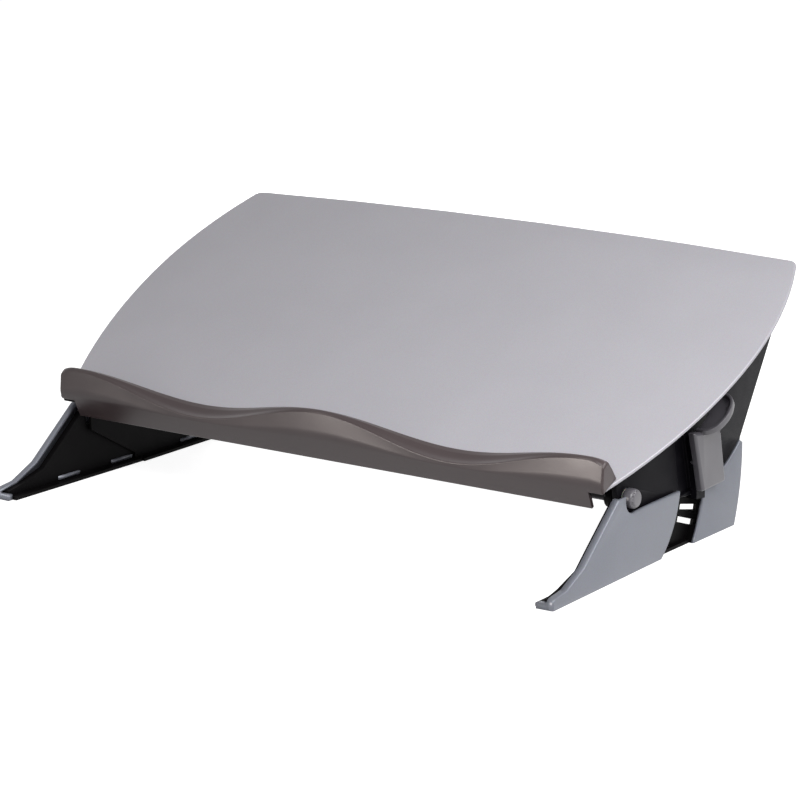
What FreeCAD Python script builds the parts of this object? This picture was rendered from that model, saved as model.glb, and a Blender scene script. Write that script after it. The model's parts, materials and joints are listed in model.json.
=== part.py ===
import FreeCAD, Part
import os
import re
import Sketcher

# Writing slope: a flat platform with a waved front ledge glides on two rails over a tilting
# cradle, which turns on a shaft between two feet and is held there by two sprung levers.
#
# Frame: X to the right, Y to the back, Z up, origin on the desk below the middle of the slope.
# The side pieces are drawn from the shaft axis, with Y and Z as their drawing axes. The pieces
# of the cradle and the platform are drawn from the same axis, along and square to the slope.
# Only right-hand pieces are drawn; the left-hand ones are their mirror images.

DOC = FreeCAD.newDocument("WritingSlope")
X_AXIS = FreeCAD.Vector(1, 0, 0)
Z_AXIS = FreeCAD.Vector(0, 0, 1)

SIZES = {
    # stance
    "tilt_angle": (25.2, "slope of the platform, top notch of the rack"),
    "pivot_height": (56.0, "shaft axis above the desk"),
    "foot_face": (250.0, "middle of the slope to the outer face of a foot"),
    "pad_proud": (0.3, "rubber pads below the sole"),
    "toe_out": (1.6, "front of a foot turned outwards, in degrees"),
    # foot, seen from the side
    "toe_reach": (112.0, "shaft axis to the tip of the toe"),
    "toe_height": (8.0, "height of the toe tip"),
    "toe_length": (19.7, "flat top of the toe"),
    "brow_reach": (21.2, "shaft axis to the top front corner of the foot"),
    "brow_rise": (3.6, "top front corner above the shaft axis"),
    "shin_reach": (69.0, "shaft axis to the foot of the straight front edge"),
    "shin_drop": (34.7, "foot of the straight front edge below the shaft axis"),
    "cover_drop": (10.0, "top edge of the front cover below the shaft axis"),
    "slot_inner": (70.8, "radius of the slot's front edge about the shaft"),
    "slot_outer": (107.7, "radius of the slot's rear edge about the shaft"),
    "heel_radius": (163.8, "radius of the foot's rear edge about the shaft"),
    "heel_rise": (7.3, "rear top corner above the shaft axis"),
    "saddle_drop": (13.5, "rear cover's top edge at the lever below the shaft axis"),
    "saddle_length": (10.0, "straight part of that edge"),
    "notch_radius": (10.4, "notch of the front cover round the pivot cap"),
    # foot, through its thickness
    "cover_depth": (8.0, "depth of the rear cover"),
    "front_depth": (5.5, "depth of the front cover"),
    "cover_wall": (2.2, "wall of a cover"),
    "cover_chamfer": (0.8, "broken rim of a cover"),
    "rack_plate": (2.5, "thickness of the foot frame's plate"),
    "flange_width": (7.5, "bottom flange of the frame, inwards from the plate"),
    "flange_thickness": (2.4, "thickness of that flange"),
    "sill_width": (4.0, "sill of the slot, outwards from the plate"),
    "rib_thickness": (2.2, "rib that closes the slot at the back"),
    "frame_inset": (1.2, "frame's edge inside the covers' edge"),
    "edge_inset": (6.0, "frame's front edge behind the front cover's edge"),
    "nub_width": (9.0, "low foot of the front cover at the toe, inwards"),
    "nub_height": (4.6, "height of that foot"),
    "tab_length": (24.0, "snap tab of a cover"),
    "tab_height": (2.6, "height of a snap tab"),
    # rack
    "rack_inset": (6.7, "middle of the rack windows and lever hinge inside slot_outer"),
    "window_length": (24.5, "length of a window"),
    "window_height": (4.2, "height of a window"),
    "window_first": (11.2, "top window below the horizontal, in degrees"),
    "window_pitch": (5.9, "angle between windows, in degrees"),
    "window_lean": (4.5, "windows turned from the radius, in degrees"),
    "pad_length": (34.0, "length of a rubber pad"),
    # pivot
    "shaft_radius": (5.0, "radius of the cross shaft"),
    "shaft_play": (0.05, "running clearance of the shaft in a bush"),
    "bush_wall": (1.6, "wall of a bush"),
    "boss_radius": (9.0, "boss of the foot frame round the shaft"),
    "boss_length": (6.5, "boss inwards from the plate"),
    "lug_radius": (13.0, "rounded ends of frame and panel about the shaft"),
    "cap_radius": (8.2, "radius of a pivot cap"),
    "cap_length": (9.4, "length of a pivot cap"),
    "cap_chamfer": (2.2, "broken rim of a pivot cap"),
    # side panel
    "panel_thickness": (3.8, "thickness of a side panel"),
    "panel_gap": (0.8, "frame plate to side panel"),
    "panel_sag": (10.1, "panel's lower corner below the horizontal, in degrees"),
    "tilt_travel": (11.8, "how far the cradle can be let down, in degrees"),
    "panel_top": (17.5, "panel's top edge above the shaft axis, square to the slope"),
    "panel_nose": (7.5, "panel's top front corner ahead of the shaft axis"),
    "panel_tail": (254.0, "panel's rear corner behind the shaft axis"),
    "recess_depth": (2.6, "finger recess beside the lever"),
    # platform
    "platform_top": (24.8, "platform's face above the shaft axis, square to the slope"),
    "platform_thickness": (3.0, "thickness of the platform"),
    "platform_front": (25.6, "platform's front edge ahead of the shaft axis"),
    "platform_back": (272.9, "platform's back edge behind the shaft axis"),
    "half_width": (280.4, "half of the greatest width"),
    "widest_at": (140.4, "widest place behind the shaft axis"),
    "front_side_radius": (420.0, "curve of the sides ahead of the widest place"),
    "back_side_radius": (325.0, "curve of the sides behind the widest place"),
    "back_bow": (7.3, "bow of the back edge"),
    "corner_radius": (9.0, "rounded rear corners"),
    # ledge
    "ledge_half": (250.0, "half length of the ledge"),
    "skirt_half": (236.5, "half length of the hanging skirt"),
    "ledge_face": (3.0, "ledge's front face ahead of the platform"),
    "skirt_drop": (15.3, "skirt's bottom edge below the platform's face"),
    "ledge_foot": (16.6, "ledge's rear foot behind the platform's front edge"),
    "crest_height": (22.3, "ridge above the platform's face at a crest"),
    "trough_height": (4.3, "ridge above the platform's face at a trough"),
    "wave_length": (234.0, "crest to crest"),
    # glide
    "glide_travel": (100.0, "how far the platform glides"),
    "channel_front": (18.0, "front end of a rail channel behind the shaft axis"),
    "channel_back": (241.0, "rear end of a rail channel"),
    "channel_low": (3.0, "channel's underside above the shaft axis, square to the slope"),
    "channel_height": (14.0, "height of the channel"),
    "channel_depth": (9.4, "depth of the channel"),
    "sheet_gauge": (1.2, "sheet steel of channels, runners and bars"),
    "block_play": (0.3, "glide block in its channel"),
    "block_length": (14.0, "length of a glide block"),
    "stop_length": (4.0, "length of a rail stop"),
    "runner_flange": (15.0, "flange of a runner against the platform"),
    # cross bars
    "front_bar_at": (52.0, "middle of the front bar behind the shaft axis"),
    "rear_bar_at": (205.0, "middle of the rear bar behind the shaft axis"),
    "bar_width": (24.0, "width of a bar"),
    "bar_height": (11.0, "height of a bar"),
    # lever, drawn from its hinge
    "hinge_rise": (10.0, "lever hinge above the shaft axis"),
    "lever_lean": (15.0, "lean of the lever towards the front"),
    "hinge_radius": (1.5, "radius of the hinge pin"),
    "hinge_depth": (2.4, "hinge axis outwards from the panel"),
    "hinge_wall": (1.1, "lug round the hinge pin"),
    "hinge_half": (12.0, "half length of the hinge pin"),
    "lug_half": (3.0, "half length of the panel's hinge lug"),
    "squeeze_room": (3.2, "panel to the catch's upper web, so that it can be squeezed"),
    "catch_depth": (4.9, "depth of the catch"),
    "lever_depth": (6.5, "depth of the lever's blade"),
    "lever_gap": (0.3, "panel to catch"),
    "lever_chamfer": (1.4, "broken rim of the lever"),
    "scoop_lean": (35.0, "lean of the finger scoop towards the front"),
    "scoop_from": (1.0, "front end of the scoop behind the hinge, along the scoop"),
    "scoop_length": (40.0, "length of the scoop"),
    "scoop_reach": (13.0, "scoop outwards from the blade"),
    "scoop_low": (22.0, "underside of the scoop above the hinge, square to it"),
    "scoop_height": (5.2, "height of the scoop's rim"),
    "scoop_wall": (2.6, "wall of the scoop"),
    "scoop_floor": (1.6, "floor of the scoop"),
    "tooth_length": (10.0, "length of the catch's tooth"),
    "tooth_height": (2.4, "height of the tooth"),
    "tooth_drop": (0.9, "tooth below the middle of the top window, in degrees"),
    "spring_gauge": (0.4, "sheet of the lever spring"),
    "spring_rise": (6.5, "lever spring above the hinge pin"),
    "spring_width": (3.6, "width of the lever spring"),
}

# Places worked out from the sizes, in the sheet's words.
SOLE = "(pivot_height - pad_proud)"
RACK = "(slot_outer - rack_inset)"
COVER_IN = "(foot_face - cover_depth)"
FRONT_IN = "(foot_face - front_depth)"
PLATE_IN = "(foot_face - cover_depth - rack_plate)"
PANEL_IN = "(foot_face - cover_depth + panel_gap)"
PANEL_OUT = "(foot_face - cover_depth + panel_gap + panel_thickness)"
CATCH_IN = f"({PANEL_OUT} + lever_gap)"
BLADE_IN = f"({CATCH_IN} + catch_depth)"
BLADE_OUT = f"({BLADE_IN} + lever_depth)"
UNDERSIDE = "(platform_top - platform_thickness)"
BACK_REACH = f"(platform_back * cos(tilt_angle) - {UNDERSIDE} * sin(tilt_angle))"
PIVOT_Y = f"((toe_reach - {BACK_REACH}) / 2)"
HINGE_X = f"({PANEL_OUT} + hinge_depth)"
SCOOP_IN = f"({BLADE_IN} + 0.8)"
RUNNER_WEB = f"({PANEL_IN} - channel_depth - block_play - sheet_gauge)"


# ---------------------------------------------------------------- sheet and sketches

def make_sheet():
    """Write the driving sizes into a spreadsheet, one row each."""
    sheet = DOC.addObject("Spreadsheet::Sheet", "Sizes")
    for row, (name, (value, meaning)) in enumerate(SIZES.items(), start=1):
        sheet.set(f"A{row}", name)
        sheet.set(f"B{row}", str(value))
        sheet.set(f"C{row}", meaning)
        sheet.setAlias(f"B{row}", name)
    DOC.recompute()
    return sheet


def bound(text):
    """Spell a formula in the sheet's words as a FreeCAD expression."""
    return re.sub(r"[a-z][a-z_]+[a-z]", lambda word: word.group() if word.group() not in SIZES
                  else "Sizes." + word.group(), str(text))


def bind(owner, path, text):
    """Tie one property of an object to the sheet."""
    owner.setExpression(path, bound(text))


def value(text):
    """Present value of a formula in the sheet's words."""
    return float(SHEET.evalExpression(bound(text)))


def polar(radius, angle):
    """Corner at a radius and an angle about the shaft."""
    return f"({radius}) * cos({angle})", f"({radius}) * sin({angle})"


def on_circle(radius, drop):
    """Corner on a circle about the shaft, at a drop below it."""
    return f"sqrt(({radius})^2 - ({drop})^2)", f"-({drop})"


def new_sketch(body, plane, offset="0"):
    """Sketch on one of the body's own origin planes, moved along the plane's normal."""
    sketch = body.newObject("Sketcher::SketchObject", "Sketch")
    support = next(f for f in body.Origin.OriginFeatures if f.Role == plane)
    sketch.AttachmentSupport = [(support, "")]
    sketch.MapMode = "FlatFace"
    bind(sketch, "AttachmentOffset.Base.z", offset)
    return sketch


def place_point(sketch, index, spot, corner):
    """Tie one point of a sketch to a corner's two formulas."""
    for kind, number, text in zip(("DistanceX", "DistanceY"), (spot.x, spot.y), corner):
        sketch.addConstraint(Sketcher.Constraint(kind, -1, 1, index, 1, number))
        bind(sketch, f"Constraints[{sketch.ConstraintCount - 1}]", text)


def arc_middle(start, end, radius):
    """Middle of the minor arc between two points; a positive radius turns left."""
    chord = end - start
    rise = (radius * radius - chord.Length ** 2 / 4) ** 0.5
    left = FreeCAD.Vector(-chord.y, chord.x, 0).normalize()
    side = 1 if radius > 0 else -1
    return (start + end) * 0.5 + left * (rise * side) - left * (abs(radius) * side)


def add_arc(sketch, start, middle, end):
    """Arc through three points, and which of its ends is the start and which the end."""
    turns_left = (middle - start).cross(end - middle).z > 0
    ordered = (start, middle, end) if turns_left else (end, middle, start)
    index = sketch.addGeometry(Part.Arc(*ordered), False)
    return index, ((1, 2) if turns_left else (2, 1))


def draw(sketch, corners):
    """Closed loop. A corner is (x, y), (x, y, radius of the arc that follows it) or
    (x, y, via_x, via_y), where the arc that follows runs through the point given."""
    spots = [FreeCAD.Vector(value(c[0]), value(c[1]), 0) for c in corners]
    first = sketch.GeometryCount
    ends = []
    for number, corner in enumerate(corners):
        start = spots[number]
        end = spots[(number + 1) % len(spots)]
        if len(corner) == 2:
            sketch.addGeometry(Part.LineSegment(start, end), False)
            ends.append((1, 2))
            continue
        if len(corner) == 3:
            middle = arc_middle(start, end, value(corner[2]))
        else:
            middle = FreeCAD.Vector(value(corner[2]), value(corner[3]), 0)
        index, order = add_arc(sketch, start, middle, end)
        ends.append(order)
        if len(corner) == 3:
            radius = sketch.Geometry[index].Radius
            sketch.addConstraint(Sketcher.Constraint("Radius", index, radius))
            bind(sketch, f"Constraints[{sketch.ConstraintCount - 1}]", f"abs({corner[2]})")
    count = len(corners)
    for number in range(count):
        after = (number + 1) % count
        sketch.addConstraint(Sketcher.Constraint(
            "Coincident", first + number, ends[number][1], first + after, ends[after][0]))
    for number, corner in enumerate(corners):
        for kind, amount, text in zip(("DistanceX", "DistanceY"), spots[number], corner):
            sketch.addConstraint(Sketcher.Constraint(
                kind, -1, 1, first + number, ends[number][0], amount))
            bind(sketch, f"Constraints[{sketch.ConstraintCount - 1}]", text)
    for number, corner in enumerate(corners):
        if len(corner) == 4:
            via = FreeCAD.Vector(value(corner[2]), value(corner[3]), 0)
            point = sketch.addGeometry(Part.Point(via), True)
            place_point(sketch, point, via, corner[2:])
            sketch.addConstraint(Sketcher.Constraint("PointOnObject", point, 1, first + number))


def ring(sketch, across, up, radius):
    """Full circle."""
    centre = FreeCAD.Vector(value(across), value(up), 0)
    index = sketch.addGeometry(Part.Circle(centre, FreeCAD.Vector(0, 0, 1), value(radius)), False)
    for kind, amount, text in zip(("DistanceX", "DistanceY"), centre, (across, up)):
        sketch.addConstraint(Sketcher.Constraint(kind, -1, 1, index, 3, amount))
        bind(sketch, f"Constraints[{sketch.ConstraintCount - 1}]", text)
    sketch.addConstraint(Sketcher.Constraint("Radius", index, value(radius)))
    bind(sketch, f"Constraints[{sketch.ConstraintCount - 1}]", radius)


def box_loop(left, low, right, high):
    """Corners of an upright rectangle."""
    return [(left, low), (right, low), (right, high), (left, high)]


# ---------------------------------------------------------------- bodies and features

def new_body(label, frame):
    """Body in the foot, toe, slope, lever or scoop frame."""
    body = DOC.addObject("PartDesign::Body", label)
    body.Label = label
    turns = {"foot": "0", "toe": "toe_out", "slope": "tilt_angle", "lever": "lever_lean",
             "scoop": "scoop_lean"}
    spot = ["0", PIVOT_Y, "pivot_height"]
    axis = X_AXIS
    if frame == "toe":
        axis = Z_AXIS
        spot[0] = "foot_face - foot_face * cos(toe_out) + slot_outer * sin(toe_out)"
        spot[1] += " + slot_inner - foot_face * sin(toe_out) - slot_inner * cos(toe_out)"
    elif frame in ("lever", "scoop"):
        spot[1] += " + " + RACK
        spot[2] += " + hinge_rise"
    body.Placement = FreeCAD.Placement(FreeCAD.Vector(), FreeCAD.Rotation(axis, 1))
    for letter, text in zip("xyz", spot):
        bind(body, f"Placement.Base.{letter}", text)
    bind(body, "Placement.Rotation.Angle", turns[frame])
    return body


def pad(body, loops, start, length, plane="YZ_Plane", back=False):
    """Add material from a start along the plane's normal, or against it with back."""
    sketch = new_sketch(body, plane, start)
    for loop in loops:
        if isinstance(loop, tuple):
            ring(sketch, *loop)
        else:
            draw(sketch, loop)
    feature = body.newObject("PartDesign::Pad", "Pad")
    feature.Profile = sketch
    feature.Reversed = back
    bind(feature, "Length", length)
    DOC.recompute()
    return feature


def pocket(body, loops, start, length, plane="YZ_Plane", back=False):
    """Cut material from a start along the plane's normal, or against it with back."""
    before = body.Shape.Volume
    sketch = new_sketch(body, plane, start)
    for loop in loops:
        if isinstance(loop, tuple):
            ring(sketch, *loop)
        else:
            draw(sketch, loop)
    feature = body.newObject("PartDesign::Pocket", "Pocket")
    feature.Profile = sketch
    feature.Reversed = not back
    bind(feature, "Length", length)
    DOC.recompute()
    if body.Shape.Volume > before - 1e-3:
        raise RuntimeError(f"{body.Label}: a pocket cuts nothing")
    return feature


def edges_where(body, test):
    """Names of the edges of a body's last feature that pass a test."""
    shape = body.Tip.Shape
    return [f"Edge{n}" for n, edge in enumerate(shape.Edges, start=1) if test(edge)]


def fillet(body, names, radius):
    """Round the named edges of a body's last feature."""
    base = body.Tip
    feature = body.newObject("PartDesign::Fillet", "Fillet")
    feature.Base = (base, names)
    bind(feature, "Radius", radius)
    DOC.recompute()
    return feature


def chamfer(body, names, size):
    """Break the named edges of a body's last feature."""
    base = body.Tip
    feature = body.newObject("PartDesign::Chamfer", "Chamfer")
    feature.Base = (base, names)
    bind(feature, "Size", size)
    DOC.recompute()
    return feature


def across_edges(body, corner):
    """Edges along X that pass through a corner of the side view."""
    spot = FreeCAD.Vector(0, value(corner[0]), value(corner[1]))

    def passes(edge):
        ends = [v.Point for v in edge.Vertexes]
        if len(ends) < 2:
            return False
        return all(abs(e.y - spot.y) < 0.01 and abs(e.z - spot.z) < 0.01 for e in ends)
    return edges_where(body, passes)


def round_corners(body, corners, radius):
    """Round edges along X at corners of the side view."""
    names = [name for corner in corners for name in across_edges(body, corner)]
    return fillet(body, names, radius)


def rim_edges(body, at):
    """Edges that lie wholly in the plane X = at, without those of the sole."""
    place, sole = value(at), -value(SOLE)
    return edges_where(body, lambda e: abs(e.BoundBox.XMin - place) < 1e-3
                       and abs(e.BoundBox.XMax - place) < 1e-3
                       and e.BoundBox.ZMax > sole + 1e-3)


def combine(kind, label, base, *tools):
    """Part boolean of finished pieces, named by its label."""
    if kind == "Part::Cut":
        result = DOC.addObject(kind, label)
        result.Base = base
        if len(tools) == 1:
            result.Tool = tools[0]
        else:
            result.Tool = combine("Part::MultiFuse", label + "_tools", tools[0], *tools[1:])
    else:
        result = DOC.addObject(kind, label)
        result.Shapes = [base, *tools]
    result.Label = label
    DOC.recompute()
    return result


def mirror(label, source):
    """Left-hand copy of a right-hand piece."""
    copy = DOC.addObject("Part::Mirroring", label)
    copy.Source = source
    copy.Normal = X_AXIS
    copy.Label = label
    DOC.recompute()
    return copy


def group(label, members):
    """Several loose solids as one piece."""
    bundle = DOC.addObject("Part::Compound", label)
    bundle.Links = members
    bundle.Label = label
    DOC.recompute()
    return bundle


# ---------------------------------------------------------------- feet

TOE_FOOT = ("-toe_reach + frame_inset", f"-{SOLE}")
TOE_TIP = ("-toe_reach", f"-{SOLE} + toe_height")
TOE_END = ("-toe_reach + toe_length", f"-{SOLE} + toe_height + 2.4")
SHIN = ("-shin_reach", "-shin_drop")
BROW = ("-brow_reach", "brow_rise")
NOTCH_FRONT = ("-sqrt(notch_radius^2 - brow_rise^2)", "brow_rise", "notch_radius")
NOTCH_BACK = ("sqrt(notch_radius^2 - cover_drop^2)", "-cover_drop")
SLOT_TOP = on_circle("slot_inner", "cover_drop")
SLOT_FOOT = on_circle("slot_inner", SOLE)
REAR_FOOT = on_circle("slot_outer", SOLE)
REAR_TOP = on_circle("slot_outer", "saddle_drop")
FRONT_SWEEP = "(slot_inner * sin(panel_sag + tilt_travel + 4.5) + 1)"
REAR_SWEEP = "(slot_outer * sin(panel_sag + tilt_travel + 1) + 1)"
REAR_TAB = f"{REAR_FOOT[0]} + rib_thickness + 5"
HEEL_FOOT = on_circle("heel_radius", SOLE)
HEEL_TOP = ("sqrt(heel_radius^2 - heel_rise^2)", "heel_rise")
HEEL_LIP = ("sqrt(heel_radius^2 - heel_rise^2) - 4", "heel_rise + 2.2")
SADDLE_END = ("sqrt(slot_outer^2 - saddle_drop^2) + saddle_length", "-saddle_drop")
SADDLE_RUN = f"({HEEL_LIP[0]} - {SADDLE_END[0]})"


def tab_boxes(places):
    """Side-view boxes of snap tabs that start at the places given."""
    low = f"-{SOLE} + flange_thickness + 0.9"
    return [box_loop(at, low, f"{at} + tab_length", f"{low} + tab_height") for at in places]


FRONT_TABS = ["-49", "14"]


def saddle_radius(rise):
    """Radius of the arc that leaves the saddle level and climbs to the heel."""
    return f"-(({SADDLE_RUN}^2 + ({rise})^2) / (2 * ({rise})))"


def add_tabs(body, places):
    """Snap tabs from the cover's outer wall inwards through the frame's plate."""
    pad(body, tab_boxes(places), f"{PLATE_IN} - 1.5", "cover_depth - cover_wall + rack_plate + 2")


def make_front_cover():
    """Silver front cover: shell with a toe, a notch round the cap and a round slot edge."""
    body = new_body("right_front_cover", "toe")
    outline = [TOE_FOOT, (SLOT_FOOT[0], SLOT_FOOT[1], "slot_inner"), SLOT_TOP,
               (NOTCH_BACK[0], NOTCH_BACK[1], "-notch_radius"), NOTCH_FRONT[:2],
               BROW, SHIN, TOE_END, TOE_TIP]
    pad(body, [outline], FRONT_IN, "front_depth")
    round_corners(body, [TOE_TIP], "toe_height / 2")
    round_corners(body, [BROW], "4")
    chamfer(body, rim_edges(body, "foot_face"), "cover_chamfer")
    bottom = f"({SOLE} - cover_wall)"
    inner_slot = "(slot_inner - cover_wall)"
    hollow = [
        ("-toe_reach + 2 * cover_wall", f"-{bottom}"),
        on_circle(inner_slot, bottom) + (inner_slot,),
        on_circle(inner_slot, "cover_drop - 1"), ("notch_radius", "-cover_drop + 1"),
        ("0", "brow_rise + 1"), ("-brow_reach + cover_wall + 2", "brow_rise + 1"),
        ("-shin_reach + 0.6 * cover_wall", "-shin_drop - 0.9 * cover_wall"),
        (f"{TOE_END[0]} + 0.3 * cover_wall", f"{TOE_END[1]} - cover_wall"),
        (f"{TOE_TIP[0]} + 2 * cover_wall", f"{TOE_TIP[1]} - cover_wall"),
    ]
    pocket(body, [hollow], FRONT_IN, "front_depth - cover_wall")
    swept = box_loop("slot_inner - 15", f"-{FRONT_SWEEP}", "slot_inner + 1", "-cover_drop + 1")
    pocket(body, [swept], FRONT_IN, f"{PANEL_OUT} + lever_gap - {FRONT_IN}")
    foot = box_loop(TOE_FOOT[0], f"-{SOLE}", f"{TOE_FOOT[0]} + 4.4", f"-{SOLE} + nub_height")
    pad(body, [foot], FRONT_IN, "nub_width", back=True)
    add_tabs(body, FRONT_TABS)
    return body


def make_rear_cover():
    """Silver rear cover: outer wall and sole, with a round front edge and a dipped top edge."""
    body = new_body("right_rear_cover", "foot")
    climb = saddle_radius("heel_rise + 2.2 + saddle_drop")
    outline = [HEEL_FOOT + ("heel_radius",), HEEL_TOP, HEEL_LIP + (climb,), SADDLE_END,
               REAR_TOP + ("-slot_outer",), REAR_FOOT]
    pad(body, [outline], COVER_IN, "cover_depth")
    chamfer(body, rim_edges(body, "foot_face"), "cover_chamfer")
    bottom = f"({SOLE} - cover_wall)"
    before = f"{REAR_FOOT[0]} - 1"
    behind_rib = f"sqrt((slot_outer + rib_thickness + 0.6)^2 - {bottom}^2)"
    hollow = [
        (before, f"-{SOLE} - 1"), (behind_rib, f"-{SOLE} - 1"), (behind_rib, f"-{bottom}"),
        ("heel_radius + 1", f"-{bottom}"), ("heel_radius + 1", "heel_rise + 4"),
        (before, "heel_rise + 4"),
    ]
    pocket(body, [hollow], COVER_IN, "cover_depth - cover_wall")
    add_tabs(body, [REAR_TAB])
    return body


def rack_window():
    """Corners of the top rack window, at the radius of the rack."""
    middle_y, middle_z = polar(RACK, "-window_first")
    turn = "(window_lean - window_first)"
    corners = []
    for along, up in ((-1, -1), (1, -1), (1, 1), (-1, 1)):
        half = f"({along} * window_length / 2)"
        rise = f"({up} * window_height / 2)"
        corners.append((f"{middle_y} + {half} * cos{turn} - {rise} * sin{turn}",
                        f"{middle_z} + {half} * sin{turn} + {rise} * cos{turn}"))
    return corners


def tab_slots(places):
    """Side-view boxes of the slots that the snap tabs pass through."""
    clear = 0.25
    return [box_loop(f"{a[0][0]} - {clear}", f"{a[0][1]} - {clear}", f"{a[2][0]} + {clear}",
                     f"{a[2][1]} + {clear}") for a in tab_boxes(places)]


def make_rack_plate():
    """Rear part of a foot frame: plate with the rack, shaft boss, sill and rib of the slot."""
    body = new_body("right_rack_plate", "foot")
    low = f"-{SOLE}"
    heel = "(heel_radius - frame_inset)"
    lug_foot = ("sqrt(lug_radius^2 - (cover_drop + 1.5)^2)", "-cover_drop - 1.5", "lug_radius")
    outline = [
        (SLOT_FOOT[0] + "- 3", low), on_circle(heel, SOLE) + (heel,),
        (f"sqrt({heel}^2 - (heel_rise - 1)^2)", "heel_rise - 1"),
        (HEEL_LIP[0], "heel_rise", saddle_radius("heel_rise + 1.5 + saddle_drop")),
        (SADDLE_END[0], "-saddle_drop - 1.5"), ("slot_outer", "-saddle_drop - 1.5"),
        ("slot_inner", "-cover_drop - 1.5"),
        lug_foot, ("0", "lug_radius", "lug_radius"), ("-lug_radius", "0"),
        ("-lug_radius", "-lug_radius - 6"),
        (SLOT_FOOT[0] + "- 3", f"{low} + flange_thickness + tab_height + 2"),
    ]
    pad(body, [outline], PLATE_IN, "rack_plate")
    flange = box_loop(SLOT_FOOT[0], low, f"sqrt({heel}^2 - {SOLE}^2)",
                      f"{low} + flange_thickness")
    pad(body, [flange], PLATE_IN, "flange_width", back=True)
    sill = box_loop(f"sqrt(slot_inner^2 - ({SOLE} - flange_thickness)^2) + 0.4", low,
                    REAR_FOOT[0] + "- 0.3", f"{low} + flange_thickness")
    pad(body, [sill], COVER_IN, "sill_width")
    near = "(slot_outer + 0.25)"
    far = "(slot_outer + 0.25 + rib_thickness)"
    top = f"({REAR_SWEEP} + 0.6)"
    rib = [on_circle(near, SOLE) + (near,), on_circle(near, top),
           on_circle(far, top) + ("-" + far,), on_circle(far, SOLE)]
    pad(body, [rib], COVER_IN, "cover_depth - cover_wall - 0.2")
    pad(body, [("0", "0", "boss_radius")], PLATE_IN, "boss_length", back=True)
    pocket(body, [("0", "0", "shaft_radius")], f"{PLATE_IN} - boss_length",
           "boss_length + rack_plate")
    pocket(body, tab_slots([REAR_TAB]), PLATE_IN, "rack_plate")
    rows = pocket(body, [rack_window()], PLATE_IN, "rack_plate")
    pattern = body.newObject("PartDesign::PolarPattern", "Rack")
    pattern.Originals = [rows]
    pattern.Axis = (next(f for f in body.Origin.OriginFeatures if f.Role == "X_Axis"), [""])
    pattern.Reversed = True
    pattern.Occurrences = 3
    bind(pattern, "Angle", "2 * window_pitch")
    body.Tip = pattern
    DOC.recompute()
    return body


def make_toe_plate():
    """Front part of a foot frame, turned outwards: thick web and flange."""
    body = new_body("right_toe_plate", "toe")
    low = f"-{SOLE}"
    start = "-toe_reach + frame_inset + 5"
    below = "-lug_radius - 1.6"
    ahead = "-lug_radius - 2.5"
    top = f"{TOE_TIP[1]} - 2"
    outline = [
        (start, low), (SLOT_FOOT[0], low, "slot_inner"),
        on_circle("slot_inner", f"{FRONT_SWEEP} + 0.5"), ("-3", below), (ahead, below),
        (ahead, "brow_rise - 0.78 * edge_inset"),
        ("-brow_reach + 0.62 * edge_inset", "brow_rise - 0.78 * edge_inset"),
        ("-shin_reach + 0.62 * edge_inset", "-shin_drop - 0.78 * edge_inset"),
        (f"{TOE_END[0]} + edge_inset / 2", f"{TOE_END[1]} - 1.5"), (start, top),
    ]
    pad(body, [outline], PLATE_IN, f"{FRONT_IN} - {PLATE_IN}")
    flange = box_loop(start, low, SLOT_FOOT[0], f"{low} + flange_thickness")
    pad(body, [flange], PLATE_IN, "flange_width", back=True)
    pocket(body, tab_slots(FRONT_TABS), PLATE_IN, f"{FRONT_IN} - {PLATE_IN}")
    return body


def make_foot_frame():
    """Black frame of a foot, in one piece."""
    return combine("Part::MultiFuse", "right_foot_frame", make_rack_plate(), make_toe_plate())


def make_pads():
    """Two rubber strips under a foot frame."""
    strips = []
    for name, frame, start in (("toe", "toe", "-toe_reach + 8"),
                               ("heel", "foot", "heel_radius - pad_length - 17")):
        body = new_body(f"right_{name}_pad", frame)
        loop = box_loop(f"{PLATE_IN} - flange_width + 1", start, "foot_face - 2",
                        f"{start} + pad_length")
        pad(body, [loop], "-pivot_height", "pad_proud", plane="XY_Plane")
        strips.append(body)
    return group("right_foot_pads", strips)


# ---------------------------------------------------------------- pivot

def make_shaft():
    """Steel cross shaft between the feet."""
    body = new_body("pivot_shaft", "foot")
    half = f"({PANEL_OUT} + cap_length - 3)"
    pad(body, [("0", "0", "shaft_radius")], f"-{half}", f"2 * {half}")
    return body


def make_cap():
    """Pressed-on cap at an end of the shaft."""
    body = new_body("right_pivot_cap", "foot")
    start = f"({PANEL_OUT} + lever_gap)"
    pad(body, [("0", "0", "cap_radius")], start, "cap_length")
    pocket(body, [("0", "0", "shaft_radius")], start, "cap_length - 3 - lever_gap")
    end = f"{start} + cap_length"
    chamfer(body, rim_edges(body, end), "cap_chamfer")
    return body


def make_bush():
    """Plain bush of a side panel, running on the shaft."""
    body = new_body("right_pivot_bush", "slope")
    pad(body, [("0", "0", "shaft_radius + shaft_play + bush_wall")], PANEL_IN, "panel_thickness")
    pocket(body, [("0", "0", "shaft_radius + shaft_play")], PANEL_IN, "panel_thickness")
    return body


# ---------------------------------------------------------------- cradle

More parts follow.
